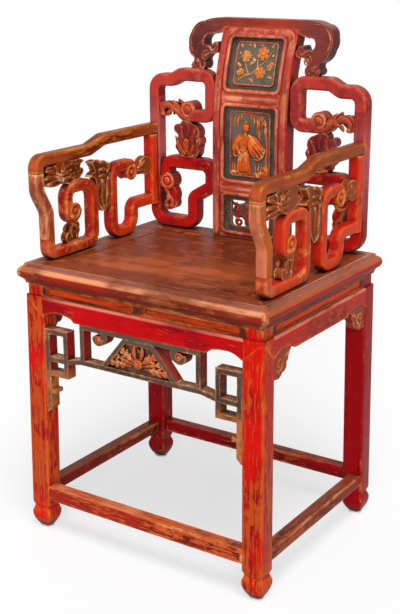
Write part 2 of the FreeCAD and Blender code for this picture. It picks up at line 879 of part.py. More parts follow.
def splat_frame(slab):
    """Two stiles and four rails, tenoned together."""
    inner = d.splat_half - d.stile_width
    for label, side in (("splat_left_stile", -1), ("splat_right_stile", 1)):
        left, right = sorted((side * inner, side * d.splat_half))
        bent_piece(label, slab, rectangle(left, d.seat_height, right, d.splat_top))
    rails = {
        "splat_top_rail": (d.splat_top, d.top_rail_height),
        "splat_upper_rail": (d.upper_rail_top, d.upper_rail_height),
        "splat_lower_rail": (d.lower_rail_top, d.lower_rail_height),
        "splat_foot_rail": (d.seat_height + d.foot_rail_height, d.foot_rail_height),
    }
    for label, (top, height) in rails.items():
        bent_piece(label, slab, rectangle(-inner, top - height, inner, top))
        middle = top - height / 2
        centre_y = bend(middle) + d.splat_thickness / 2
        extents = (d.tenon_length / 2, d.tenon_thickness, height / 2)
        for side, host in ((-1, "splat_left_stile"), (1, "splat_right_stile")):
            join(label, host, (side * inner, centre_y, middle), extents, "+x" if side > 0 else "-x")


def panel_spans():
    """Lower and upper edges of the three openings of the frame."""
    return {
        "lower_panel": (d.seat_height + d.foot_rail_height, d.lower_rail_top - d.lower_rail_height),
        "figure_panel": (d.lower_rail_top, d.upper_rail_top - d.upper_rail_height),
        "upper_panel": (d.upper_rail_top, d.splat_top - d.top_rail_height),
    }


def splat_panels():
    """Three thin panels in the frame; two have a raised field and the lowest is pierced."""
    inner = d.splat_half - d.stile_width - d.fit_clearance
    field = inner - d.field_side_margin
    plate = bent_slab("plate_slab", d.panel_setback, d.panel_thickness)
    raised = bent_slab("field_slab", d.panel_setback - d.field_rise, d.panel_thickness)
    for label, (low, high) in panel_spans().items():
        low += d.fit_clearance
        high -= d.fit_clearance
        edge = rectangle(-inner, low, inner, high)
        window = rectangle(-field, low + d.field_margin, field, high - d.field_margin, d.corner_radius)
        if label == "lower_panel":
            bent_piece(label, plate, edge, window)
            spray = spray_outline(field, low + d.field_margin, high - d.field_margin)
            bent_piece("lower_spray", plate, spray)
            pieces[label] = fuse(label + "_carved", pieces[label], pieces.pop("lower_spray"))
        else:
            bent_piece(label, plate, edge)
            bent_piece(label + "_field", raised, window)
            pieces[label] = fuse(label + "_raised", pieces[label], pieces.pop(label + "_field"))


def spray_outline(half, low, high):
    """A lobed spray of leaves that touches all four edges of its window."""
    tall = high - low
    reach = half + d.fit_clearance

    def at(x_share, z_share):
        return reach * x_share, low + tall * z_share

    return symmetric(
        at(0, 1.02),
        at(0.14, 1.02),
        (at(0.3, 0.86), at(0.2, 0.74)),
        (at(0.5, 0.84), at(0.62, 0.62)),
        (at(0.78, 0.66), at(1.0, 0.56)),
        at(1.0, 0.4),
        (at(0.72, 0.44), at(0.5, 0.34)),
        (at(0.34, 0.3), at(0.3, 0.14)),
        (at(0.24, 0.06), at(0.16, -0.02)),
        at(0, -0.02),
    )


def crest():
    """The top rail, bent with the frame, whose ends hang down as hooked scrolls on the flanks."""
    top = d.crest_top
    foot = d.flank_top
    fall = top - foot
    half = d.crest_half
    flat_half = d.crest_flat_half
    side = d.splat_half

    def at(x_share, z_share):
        return side + (half - side) * x_share, foot + fall * z_share

    eye_x = side + 0.4 * (half - side)
    eye_z = foot + 0.56 * fall
    eye = d.crest_eye
    outline = symmetric(
        (0, top),
        (flat_half, top),
        (at(0.46, 0.978), at(0.66, 0.93)),
        (at(0.89, 0.85), at(0.985, 0.7)),
        (at(1.02, 0.58), at(0.98, 0.46)),
        (at(0.92, 0.32), at(0.8, 0.24)),
        (at(0.74, 0.18), at(0.78, 0.12)),
        (at(0.8, 0.05), at(0.74, 0.0)),
        at(0.42, 0.0),
        (at(0.37, 0.08), at(0.42, 0.18)),
        (at(0.33, 0.29), at(0.18, 0.32)),
        (at(0.04, 0.38), at(0.07, 0.46)),
        (at(0.12, 0.53), (eye_x - eye, eye_z - eye * 0.7)),
        ((eye_x + eye, eye_z), (eye_x - eye * 0.4, eye_z + eye)),
        at(0.0, 0.745),
        (side, d.splat_top),
        (0, d.splat_top),
    )
    bent_piece("crest_rail", bent_slab("crest_slab", 0, d.crest_thickness), outline)


# Flanks of the back

FLANK_MIDDLE = "Sizes.leg_reach / 2 - Sizes.flank_setback + Sizes.flank_thickness / 2"


def flank_post(label, side):
    """The upright of a flank between the corners of its two loops."""
    body = new_body(label)
    inner, outer = sorted((side * (d.flank_half - d.flank_bar), side * d.flank_half))
    outline = rectangle(inner, -d.flank_thickness / 2, outer, d.flank_thickness / 2, d.strand_arris)
    pad(body, XY, outline, "Sizes.flank_top - Sizes.post_head_drop - Sizes.post_foot", d.post_foot)
    place(body, y=FLANK_MIDDLE)
    pieces[label] = body


def flank_upper_loop(label, side):
    """A strand that runs from the post over the top with a step, down and round to a scroll."""
    bar = d.flank_bar
    outer = d.flank_half - bar / 2
    inner = d.splat_half + bar / 2
    top = d.flank_top - bar / 2
    low = d.upper_loop_bottom + bar / 2
    middle = (outer + inner) / 2
    scroll = middle - d.flank_scroll_radius
    step = top - d.flank_step
    points = [
        (outer, d.post_head),
        (outer, step),
        (middle + bar, step),
        (middle + bar / 6, top),
        (inner, top),
        (inner, low),
        (scroll, low),
    ]
    radii = [0, 0.84 * bar, bar / 2, bar / 2, 0.84 * bar, 0.64 * bar, 0]
    body = strand(label, XZ, [(side * x, z) for x, z in points], radii, bar, d.flank_thickness)
    eye_z = low + d.flank_scroll_radius * 0.75
    deep = "Sizes.flank_thickness + Sizes.field_rise / 2"
    add_disc(body, XZ, side * scroll, eye_z, d.flank_scroll_radius, deep)
    post = d.flank_half - bar
    run = post - scroll
    tall = d.flank_scroll_radius

    def at(x_share, z_share):
        return side * (scroll + run * x_share), low + tall * z_share

    tail = chain(
        at(0, -0.75),
        (at(0.24, -0.66), at(0.44, 0.16)),
        (at(0.68, 0.78), at(0.86, 0.4)),
        (at(0.8, -0.1), at(0.86, -0.4)),
        (at(0.96, -0.3), at(1.0, 0.1)),
        at(1.0, 1.2),
        (at(0.84, 1.5), at(0.68, 1.2)),
        (at(0.56, 1.45), at(0.46, 1.1)),
        (at(0.32, 0.9), at(0.2, 0.5)),
        at(0, 0.4),
    )
    pad(body, XZ, tail, "Sizes.flank_thickness * 0.7", middle=True)
    place(body, y=FLANK_MIDDLE)
    pieces[label] = body


def flank_lower_loop(label, side):
    """A strand that turns under the post along the seat, steps up and ends in a tailed scroll."""
    bar = d.flank_bar
    outer = d.flank_half - bar / 2
    inner = d.splat_half + bar / 2
    low = d.seat_height + bar / 2
    top = d.lower_loop_top - bar / 2
    rise = inner + 1.7 * bar
    curl = outer - bar
    points = [
        (outer, d.post_foot),
        (outer, low),
        (rise, low),
        (rise, low + 2.2 * bar),
        (inner, low + 3.2 * bar),
        (inner, top),
        (curl, top),
        (curl, top - 1.2 * bar),
    ]
    radii = [0, 0.95 * bar, 0.8 * bar, 0.55 * bar, 0.55 * bar, 0.85 * bar, 0.65 * bar, 0]
    body = strand(label, XZ, [(side * x, z) for x, z in points], radii, bar, d.flank_thickness)
    radius = 1.1 * d.flank_scroll_radius
    eye_x = curl + bar / 2 - radius
    eye_z = top - 1.6 * bar
    add_disc(body, XZ, side * eye_x, eye_z, radius, "Sizes.flank_thickness + Sizes.field_rise / 2")

    def at(x_share, z_share):
        return side * (eye_x + radius * x_share), eye_z + radius * z_share

    tail = chain(
        at(0.6, -0.6),
        (at(0.1, -1.4), at(0.0, -2.1)),
        (at(0.2, -2.5), at(0.5, -2.8)),
        (at(0.2, -3.4), at(-0.5, -3.3)),
        (at(-1.1, -2.9), at(-1.1, -2.2)),
        (at(-1.2, -1.5), at(-0.7, -0.6)),
    )
    pad(body, XZ, tail, "Sizes.flank_thickness * 0.7", middle=True)
    place(body, y=FLANK_MIDDLE)
    pieces[label] = body


def add_disc(body, role, across, height, radius, thickness):
    """The round eye of a scroll, a little proud of the strand on both sides."""
    eye = Part.Circle(Vector(across, height, 0), Vector(0, 0, 1), radius)
    pad(body, role, [eye], thickness, middle=True)


def flank_bud(label, side, above, below):
    """A carved bud between the two loops of a flank."""
    body = new_body(label)
    low = d.lower_loop_top
    tall = d.upper_loop_bottom - low
    middle = (d.splat_half + d.flank_half) / 2 - d.flank_bar / 2
    half = d.flank_bar * 1.05

    def at(x_share, z_share):
        return side * (middle + half * x_share), low + tall * z_share

    lobes = chain(
        at(-0.5, -0.05),
        (at(-0.95, 0.12), at(-0.9, 0.34)),
        (at(-1.15, 0.42), at(-1.0, 0.58)),
        (at(-1.0, 0.8), at(-0.55, 0.94)),
        (at(-0.2, 1.0), at(0.1, 1.05)),
        (at(0.5, 1.0), at(0.62, 0.86)),
        (at(1.0, 0.9), at(0.98, 0.66)),
        (at(0.78, 0.56), at(0.8, 0.4)),
        (at(1.05, 0.34), at(0.8, 0.16)),
        (at(0.7, 0.04), at(0.5, -0.05)),
    )
    pad(body, XZ, lobes, "Sizes.flank_thickness * 0.85", middle=True)
    place(body, y=FLANK_MIDDLE)
    seated = cut(label + "_seated", body, pieces[below])
    pieces[label] = cut(label + "_fitted", seated, pieces[above])


def flank(side):
    """One flank of the back: a post, two loops and a bud, pinned together."""
    name = "left_flank_" if side < 0 else "right_flank_"
    flank_post(name + "post", side)
    flank_upper_loop(name + "upper_loop", side)
    flank_lower_loop(name + "lower_loop", side)
    flank_bud(name + "bud", side, name + "upper_loop", name + "lower_loop")
    x = side * (d.flank_half - d.flank_bar / 2)
    y = d.flank_front + d.flank_thickness / 2
    extents = (d.tenon_thickness, d.tenon_thickness, d.tenon_length)
    join(name + "post", name + "upper_loop", (x, y, d.post_head), extents, "+z")
    join(name + "post", name + "lower_loop", (x, y, d.post_foot), extents, "-z")
    foot = side * ((d.splat_half + d.flank_half) / 2 + 0.8 * d.flank_bar)
    join(name + "lower_loop", "rear_seat_rail", (foot, y, d.seat_height),
         (2 * d.tenon_length, d.tenon_thickness, d.tenon_length), "-z")


# Arms

def arm_middle(side):
    shift = "Sizes.leg_span / 2 - Sizes.arm_inset - Sizes.arm_thickness / 2"
    return shift if side > 0 else "-(%s)" % shift


def arm_sizes():
    """Lines along the middle of the arm's bars, seen from the side."""
    bar = d.arm_bar
    return SimpleNamespace(
        bar=bar,
        upper=d.arm_front + bar / 2,
        lower=d.arm_front + bar / 2 + d.arm_bend,
        seat=d.seat_height + bar / 2,
        rail=d.arm_top - bar / 2,
        high=d.arm_top + d.arm_rise - bar / 2,
        fore=d.front_loop_front + bar / 2,
        aft=d.front_loop_rear - bar / 2,
        crown=d.front_loop_top - bar / 2,
    )


def arm_front_post(label, side):
    """The post at the front of an arm, which bends forward half way up."""
    a = arm_sizes()
    low = d.seat_height + 1.8 * a.bar
    knee = (low + a.rail) / 2 - a.bar
    points = [(a.lower, low), (a.lower, knee), (a.upper, knee + 1.8 * a.bar), (a.upper, a.rail - a.bar)]
    body = strand(label, YZ, points, [0, 1.5 * a.bar, 1.5 * a.bar, 0], a.bar, d.arm_thickness)
    place(body, x=arm_middle(side))
    pieces[label] = body


def arm_top_rail(label, side):
    """The rail of an arm, which turns down at the front and steps up to meet the back."""
    a = arm_sizes()
    points = [
        (a.upper, a.rail - a.bar),
        (a.upper, a.rail),
        (-2 * a.bar, a.rail),
        (0, a.high),
        (d.flank_front, a.high),
    ]
    radii = [0, 0.7 * a.bar, 1.4 * a.bar, 1.4 * a.bar, 0]
    body = strand(label, YZ, points, radii, a.bar, d.arm_thickness)
    place(body, x=arm_middle(side))
    pieces[label] = body


def arm_front_loop(label, side):
    """A strand from the post's foot back along the seat, up, forward and down into a scroll."""
    a = arm_sizes()
    radius = 0.57 * a.bar
    eye = a.fore + radius
    low = d.front_loop_top - 3.05 * a.bar
    points = [
        (a.fore + 2 * radius, low + radius),
        (a.fore + 2 * radius, low),
        (a.fore, low),
        (a.fore, a.crown),
        (a.aft, a.crown),
        (a.aft, a.seat),
        (a.lower, a.seat),
        (a.lower, d.seat_height + 1.8 * a.bar),
    ]
    radii = [0, 0.99 * radius, 0.99 * radius, 0.9 * a.bar, 1.25 * a.bar, 0.85 * a.bar, 0.55 * a.bar, 0]
    body = strand(label, YZ, points, radii, a.bar, d.arm_thickness)
    add_disc(body, YZ, eye, low + radius, d.arm_scroll_radius, "Sizes.arm_thickness + Sizes.field_rise / 2")
    place(body, x=arm_middle(side))
    pieces[label] = body


def arm_rear_loop(label, side):
    """A strand that hangs in an arch, dips to the seat and links up to the rear upright."""
    a = arm_sizes()
    fore = d.rear_loop_front + a.bar / 2
    aft = d.rear_loop_rear - a.bar / 2
    top = d.rear_loop_top - a.bar / 2
    link = d.link_top - a.bar / 2
    points = [
        (aft, top - a.bar),
        (aft, top),
        (fore, top),
        (fore, a.seat),
        (aft, a.seat),
        (aft, link),
        (d.flank_front - a.bar, link),
    ]
    radii = [0, 0.6 * a.bar, 1.1 * a.bar, 1.1 * a.bar, 1.1 * a.bar, 0.6 * a.bar, 0]
    body = strand(label, YZ, points, radii, a.bar, d.arm_thickness)
    eye_y = aft - 0.55 * a.bar
    eye_z = top - 0.65 * a.bar
    add_disc(body, YZ, eye_y, eye_z, d.arm_scroll_radius, "Sizes.arm_thickness + Sizes.field_rise / 2")
    place(body, x=arm_middle(side))
    pieces[label] = body


def arm_rear_upright(label, side):
    """A short upright against the front of the flank's post, under the end of the arm's rail."""
    a = arm_sizes()
    body = new_body(label)
    half = d.arm_thickness / 2
    outline = rectangle(-half, -a.bar, half, 0, d.strand_arris)
    pad(body, XY, outline, "Sizes.arm_top + Sizes.arm_rise - Sizes.link_top", d.link_top - a.bar)
    place(body, x=arm_middle(side), y="Sizes.leg_reach / 2 - Sizes.flank_setback")
    pieces[label] = body


def leaf(label, side, outline, hosts):
    """A carved leaf in the plane of an arm, fitted round what carries it."""
    body = new_body(label)
    pad(body, YZ, outline, cell("leaf_thickness"), middle=True)
    place(body, x=arm_middle(side))
    fitted = body
    for host in hosts:
        fitted = cut(label + "_at_" + host, fitted, pieces[host])
    return fitted


def arm_leaves(name, side):
    """Leaves that fill the gaps of an arm: over the front loop, between the loops, behind them."""
    a = arm_sizes()
    under = d.arm_top - a.bar
    back_of_post = a.upper + a.bar / 2
    crown = d.front_loop_top
    run = a.aft - back_of_post
    tall = under - crown

    def over(y_share, z_share):
        return back_of_post + run * y_share, crown + tall * z_share

    upper = chain(
        over(-0.03, 0.2),
        over(-0.03, 0.42),
        (over(0.06, 0.48), over(0.13, 0.62)),
        (over(0.07, 0.74), over(0.09, 0.92)),
        (over(0.2, 0.93), over(0.33, 1.06)),
        (over(0.48, 1.1), over(0.63, 0.98)),
        (over(0.74, 0.98), over(0.82, 0.83)),
        (over(0.75, 0.72), over(0.73, 0.55)),
        (over(0.8, 0.4), over(0.765, 0.22)),
        (over(0.7, 0.04), over(0.6, -0.04)),
        over(0.5, -0.1),
        (over(0.4, 0.0), over(0.31, 0.0)),
        (over(0.1, 0.0), over(-0.03, 0.2)),
    )
    gap = d.rear_loop_front - d.front_loop_rear
    waist_z = crown - 3.3 * a.bar

    def between(y_share, z_share):
        return d.front_loop_rear + gap * y_share, waist_z + 4.6 * a.bar * z_share

    middle = chain(
        between(0.42, 0.0),
        (between(0.16, 0.12), between(-0.04, 0.32)),
        between(-0.04, 0.55),
        (between(-0.2, 0.68), between(-0.5, 0.7)),
        (between(-0.3, 0.77), between(-0.1, 0.79)),
        (between(-0.25, 0.9), between(-0.45, 0.98)),
        (between(0.1, 1.0), between(0.6, 0.9)),
        (between(0.9, 0.82), between(1.04, 0.68)),
        between(1.04, 0.2),
        (between(0.8, 0.05), between(0.42, 0.0)),
    )
    hang = d.rear_loop_rear
    reach = d.flank_front - a.bar - hang
    knot_z = d.rear_loop_top - 1.2 * a.bar

    def behind(y_share, z_share):
        return hang + reach * y_share, knot_z + a.bar * z_share

    knot = chain(
        behind(-0.1, 0.3),
        (behind(0.2, 0.35), behind(0.3, 0.75)),
        (behind(0.5, 1.0), behind(1.05, 0.8)),
        behind(1.05, -0.4),
        (behind(0.6, -0.6), behind(0.4, -0.3)),
        (behind(0.1, -0.45), behind(-0.1, -0.3)),
    )
    eye = a.fore + 0.57 * a.bar
    low = d.seat_height + a.bar
    room = d.front_loop_top - 3.55 * a.bar - low

    def beneath(y_share, z_share):
        return eye + a.bar * y_share, low + room * z_share

    curl = chain(
        beneath(-0.5, -0.05),
        (beneath(-1.0, 0.2), beneath(-0.7, 0.55)),
        (beneath(-0.3, 0.6), beneath(-0.3, 1.1)),
        beneath(0.3, 1.1),
        (beneath(0.75, 0.7), beneath(0.35, 0.5)),
        (beneath(0.6, 0.2), beneath(0.2, -0.05)),
    )
    post, rail = name + "front_post", name + "top_rail"
    front, rear, upright = name + "front_loop", name + "rear_loop", name + "rear_upright"
    group = document.addObject("Part::Compound", name + "leaves")
    group.Links = [
        leaf(name + "upper_leaf", side, upper, (post, rail, front)),
        leaf(name + "middle_leaf", side, middle, (front, rear)),
        leaf(name + "knot", side, knot, (rear, upright)),
        leaf(name + "curl", side, curl, (front,)),
    ]
    pieces[name + "leaves"] = group


def arm(side):
    """One arm: a bent post, a stepped rail, two scrolled loops, an upright and leaves."""
    name = "left_arm_" if side < 0 else "right_arm_"
    word = "left" if side < 0 else "right"
    arm_front_post(name + "front_post", side)
    arm_top_rail(name + "top_rail", side)
    arm_front_loop(name + "front_loop", side)
    arm_rear_loop(name + "rear_loop", side)
    arm_rear_upright(name + "rear_upright", side)
    arm_leaves(name, side)
    a = arm_sizes()
    x = side * (d.arm_half - d.arm_thickness / 2)
    pin = (d.tenon_thickness, d.tenon_thickness, d.tenon_length * 0.7)
    join(name + "front_post", name + "top_rail", (x, a.upper, a.rail - a.bar), pin, "+z")
    join(name + "front_post", name + "front_loop", (x, a.lower, d.seat_height + 1.8 * a.bar), pin, "-z")
    low = (d.tenon_thickness, 2 * d.tenon_length, d.tenon_length)
    seat = word + "_seat_rail"
    join(name + "front_loop", seat, (x, (a.lower + a.aft) / 2, d.seat_height), low, "-z")
    short = (d.tenon_thickness, d.tenon_length, d.tenon_length)
    middle = (d.rear_loop_front + d.rear_loop_rear) / 2
    join(name + "rear_loop", seat, (x, middle, d.seat_height), short, "-z")
    into_post = (d.tenon_thickness, d.tenon_length * 0.7, d.tenon_thickness)
    join(name + "top_rail", word + "_flank_post", (x, d.flank_front, a.high), into_post, "+y")
    link = d.link_top - a.bar / 2
    join(name + "rear_loop", name + "rear_upright", (x, d.flank_front - a.bar, link), into_post, "+y")


def crest_joints():
    """Pins from the frame's stiles into the crest and the seat, and from the crest into the flanks."""
    height = (d.crest_top - d.splat_top) / 2
    pin = 0.8 * d.tenon_thickness
    stile = d.splat_half - 0.3 * d.stile_width
    for side, word in ((-1, "left"), (1, "right")):
        stile_name = "splat_%s_stile" % word
        y = bend(d.splat_top) + d.crest_thickness / 2
        join(stile_name, "crest_rail", (side * stile, y, d.splat_top), (pin, pin, height), "+z")
        y = d.splat_front + d.splat_thickness / 2
        foot = (side * stile, y, d.seat_height)
        join(stile_name, "rear_seat_rail", foot, (pin, pin, d.tenon_length), "-z")
        x = side * (d.splat_half + 0.6 * (d.crest_half - d.splat_half))
        y = d.flank_front + d.flank_thickness / 2
        join("crest_rail", word + "_flank_upper_loop", (x, y, d.flank_top), (pin, pin, height), "-z")


def build():
    """Make the pieces from the floor up; what is cut to fit is made after what it fits."""
    for label, (side, end) in LEGS.items():
        leg(label, side, end)
    foot_glides()
    stretchers()
    for side in SIDES:
        apron(side)
        waist(side)
        seat_rail(side)
    for label, (side, end) in LEGS.items():
        for host in ("left" if side < 0 else "right", "front" if end < 0 else "rear"):
            pieces[label] = cut(label + "_under_" + host, pieces[label], pieces[host + "_apron"])
    seat_mortises()
    seat_board()
    fret_scroll("fret_left_scroll", -1)
    fret_scroll("fret_right_scroll", 1)
    fret_frame()
    fret_centre()
    side_brackets()
    splat_frame(bent_slab("splat_slab", 0, d.splat_thickness))
    splat_panels()
    crest()
    flank(-1)
    flank(1)
    arm(-1)
    arm(1)
    crest_joints()


# From the middle of the legs to the middle of the depth between the seat's nose and the crest's back
CHAIR_SHIFT = (
    "(Sizes.nose_reach + Sizes.splat_setback - Sizes.bend_radius"
    " + sqrt((Sizes.bend_radius - Sizes.crest_thickness) ^ 2"
    " - (Sizes.splat_top + Sizes.crest_rise - Sizes.bend_start) ^ 2)) / 2"
)


def set_down():
    """Move every finished piece with the whole chair, and give it its name."""
    for label, item in pieces.items():
        placed = document.addObject("Part::Compound", label + "_placed")
        placed.Links = [item]
        place(placed, y=CHAIR_SHIFT)
        for other in document.getObjectsByLabel(label):
            other.Label = label + "_blank"
        placed.Label = label
        pieces[label] = placed


def write():
    """Check every object and write one file for each piece."""
    document.recompute()
    for item in document.Objects:
        if "Invalid" in item.State or "Error" in item.State:
            raise RuntimeError("%s did not compute: %s" % (item.Name, item.State))
    os.makedirs("parts", exist_ok=True)
    for label, item in pieces.items():
        shape = item.Shape
        if shape.isNull() or not shape.isValid() or not shape.Solids:
            raise RuntimeError("%s has no valid solid" % label)
        if item.Label != label:
            raise RuntimeError("%s is labelled %s" % (label, item.Label))
        shape.exportStep("parts/%s.step" % label)


build()
set_down()
write()
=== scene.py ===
"""Looks of an official hat armchair in worn red lacquer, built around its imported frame."""

import math
from functools import partial

import bmesh
import bpy
from mathutils import Matrix, Vector


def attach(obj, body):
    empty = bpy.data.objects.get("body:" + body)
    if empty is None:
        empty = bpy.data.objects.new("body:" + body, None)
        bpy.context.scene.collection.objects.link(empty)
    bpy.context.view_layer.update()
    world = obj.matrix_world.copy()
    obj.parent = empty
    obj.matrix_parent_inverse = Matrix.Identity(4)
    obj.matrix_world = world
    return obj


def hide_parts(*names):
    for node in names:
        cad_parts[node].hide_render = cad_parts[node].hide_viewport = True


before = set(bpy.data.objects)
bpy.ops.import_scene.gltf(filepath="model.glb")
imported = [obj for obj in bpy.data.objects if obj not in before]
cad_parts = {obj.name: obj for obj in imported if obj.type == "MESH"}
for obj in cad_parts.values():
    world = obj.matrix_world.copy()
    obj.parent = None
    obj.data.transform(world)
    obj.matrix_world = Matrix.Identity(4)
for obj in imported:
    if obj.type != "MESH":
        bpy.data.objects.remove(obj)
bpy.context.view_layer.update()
scene = bpy.context.scene
scene.view_settings.view_transform = "Standard"

# The studio: a wide sheet of pale paper on the floor that keeps the chair's
# soft shadow, and plain white light around it that the lens sees as white.
paper_half = 4.0
floor_mesh = bpy.data.meshes.new("studio_paper")
bm = bmesh.new()
bmesh.ops.create_grid(bm, x_segments=1, y_segments=1, size=paper_half)
bm.to_mesh(floor_mesh)
bm.free()
floor = bpy.data.objects.new("studio_paper", floor_mesh)
scene.collection.objects.link(floor)
paper = bpy.data.materials.new("studio_paper")
paper.use_nodes = True
paper_shader = paper.node_tree.nodes["Principled BSDF"]
paper_shader.inputs["Base Color"].default_value = (0.93, 0.93, 0.94, 1)
paper_shader.inputs["Roughness"].default_value = 0.85
paper_shader.inputs["Specular IOR Level"].default_value = 0.2
floor_mesh.materials.append(paper)

world = bpy.data.worlds.new("studio")
world.use_nodes = True
scene.world = world


def seen(tree):
    """One for rays that show a surface to the lens, directly, mirrored or through glass."""
    rays = tree.nodes.new("ShaderNodeLightPath")
    total = rays.outputs["Is Camera Ray"]
    for name in ("Is Glossy Ray", "Is Transmission Ray"):
        adding = tree.nodes.new("ShaderNodeMath")
        adding.operation = "ADD"
        adding.use_clamp = True
        tree.links.new(total, adding.inputs[0])
        tree.links.new(rays.outputs[name], adding.inputs[1])
        total = adding.outputs[0]
    return total


sky, sheet = world.node_tree, paper.node_tree
soft_light = sky.nodes["Background"]
white = sky.nodes.new("ShaderNodeBackground")
glow = sheet.nodes.new("ShaderNodeEmission")
for made, strength in ((soft_light, 0.34), (white, 1.0), (glow, 1.0)):
    made.inputs["Color"].default_value = (1, 1, 1, 1)
    made.inputs["Strength"].default_value = strength
paleness = 0.58
pale = sheet.nodes.new("ShaderNodeMixShader")
pale.inputs[0].default_value = paleness
sheet.links.new(paper_shader.outputs[0], pale.inputs[1])
sheet.links.new(glow.outputs[0], pale.inputs[2])
dim = sheet.nodes.new("ShaderNodeBsdfDiffuse")
dim.inputs["Color"].default_value = (0.3, 0.3, 0.31, 1)
for tree, hidden, bright, output in (
    (sky, soft_light, white, "World Output"), (sheet, dim, pale, "Material Output"),
):
    shown = tree.nodes.new("ShaderNodeMixShader")
    tree.links.new(seen(tree), shown.inputs[0])
    tree.links.new(hidden.outputs[0], shown.inputs[1])
    tree.links.new(bright.outputs[0], shown.inputs[2])
    tree.links.new(shown.outputs[0], tree.nodes[output].inputs["Surface"])

# Two wide soft lights: a low one from in front and to the right, that lights
# the front and right faces alike, and one from overhead that lays the shadow.
for name, towards, strength, spread in (
    ("front_light", (0.58, -0.9, 0.36), 2.25, 36),
    ("overhead_light", (0.3, -0.3, 1.0), 1.75, 32),
):
    light = bpy.data.lights.new(name, "SUN")
    light.energy = strength
    light.angle = math.radians(spread)
    lamp = bpy.data.objects.new(name, light)
    lamp.rotation_euler = Vector(towards).to_track_quat("Z", "Y").to_euler()
    scene.collection.objects.link(lamp)

# The camera: a little over a metre up and two metres from the chair's middle,
# in front and to the right, with a lens a little longer than normal.
azimuth, elevation, roll = math.radians(33.94), math.radians(17.376), math.radians(-0.303)
standpoint = (1.1307, -1.7103, 1.0853)
lens = bpy.data.cameras.new("camera")
lens.lens = 66.77
lens.shift_x = 0.0045
lens.shift_y = -0.0064
camera = bpy.data.objects.new("camera", lens)
turn = Matrix.Rotation(azimuth, 4, "Z") @ Matrix.Rotation(math.pi / 2 - elevation, 4, "X")
camera.matrix_world = Matrix.Translation(standpoint) @ turn @ Matrix.Rotation(roll, 4, "Z")
scene.collection.objects.link(camera)
scene.camera = camera

# Legs: square posts of hardwood with rounded feet, under thin red lacquer on an orange ground, worn
# through along the arrises, where the worn colour also stands for painted highlight, and chipped low
# down.


class Field:
    """A value that varies over a surface; arithmetic with it makes Math nodes."""

    def __init__(self, tree, socket):
        self.tree = tree
        self.socket = socket

    def combine(self, operation, first, second):
        made = self.tree.nodes.new("ShaderNodeMath")
        made.operation = operation
        for entry, value in zip(made.inputs, (first, second)):
            if isinstance(value, Field):
                self.tree.links.new(value.socket, entry)
            else:
                entry.default_value = value
        return Field(self.tree, made.outputs[0])

    def __add__(self, other):
        return self.combine("ADD", self, other)

    def __radd__(self, other):
        return self.combine("ADD", other, self)

    def __sub__(self, other):
        return self.combine("SUBTRACT", self, other)

    def __rsub__(self, other):
        return self.combine("SUBTRACT", other, self)

    def __mul__(self, other):
        return self.combine("MULTIPLY", self, other)

    def __rmul__(self, other):
        return self.combine("MULTIPLY", other, self)

    def size(self):
        return self.combine("ABSOLUTE", self, 0.0)


class Finish:
    """A material in the making, with its shader and the place on the piece."""

    def __init__(self, name):
        self.material = bpy.data.materials.new(name)
        self.material.use_nodes = True
        self.tree = self.material.node_tree
        self.shader = self.tree.nodes["Principled BSDF"]
        self.place = self.node("TexCoord", {}, {}, 3)

    def node(self, kind, settings, values, output=0):
        made = self.tree.nodes.new("ShaderNode" + kind)
        for name, value in settings.items():
            setattr(made, name, value)
        self.feed(made, values)
        return Field(self.tree, made.outputs[output])

    def feed(self, made, values):
        for name, value in values.items():
            if isinstance(value, Field):
                self.tree.links.new(value.socket, made.inputs[name])
            else:
                made.inputs[name].default_value = value

    def stretched(self, x, y, z):
        return self.node("Mapping", {}, {"Vector": self.place, "Scale": (x, y, z)})

    def noise(self, place, scale, detail=4.0, roughness=0.6):
        values = {"Vector": place, "Scale": scale, "Detail": detail, "Roughness": roughness}
        return self.node("TexNoise", {}, values)

    def step(self, value, low, high):
        values = {"Value": value, "From Min": low, "From Max": high}
        return self.node("MapRange", {"interpolation_type": "SMOOTHSTEP"}, values)

    def mix(self, share, first, second):
        """A colour between two, through the colour sockets of a Mix node."""
        return self.node("Mix", {"data_type": "RGBA"}, {0: share, 6: first, 7: second}, 2)

    def hollow(self, distance, inside):
        """How closed in a spot is: by its surroundings, or under its own skin at an arris."""
        settings = {"inside": inside, "only_local": inside, "samples": 6}
        return 1.0 - self.node("AmbientOcclusion", settings, {"Distance": distance}, 1)

    def axis(self, index, facing=False):
        """Where a spot is along an axis, or how far it faces along it, the same on both sides."""
        vector = self.node("TexCoord", {}, {}, 1 if facing else 3)
        part = self.node("SeparateXYZ", {}, {0: vector}, index)
        return part if index and not facing else part.size()


def tone(red, green, blue):
    """A colour from its eight-bit screen values."""
    return tuple(
        (value / 12.92 if value <= 0.04045 else ((value + 0.055) / 1.055) ** 2.4)
        for value in (red / 255, green / 255, blue / 255)
    ) + (1.0,)


RED = (190, 12, 8)
DEEP = (112, 4, 18)
ORANGE = (208, 84, 28)
TAN = (232, 160, 104)
# The soot colour is both dirt and painted shade, laid in corners, creases and folds.
SOOT_AND_SHADE = (30, 12, 12)


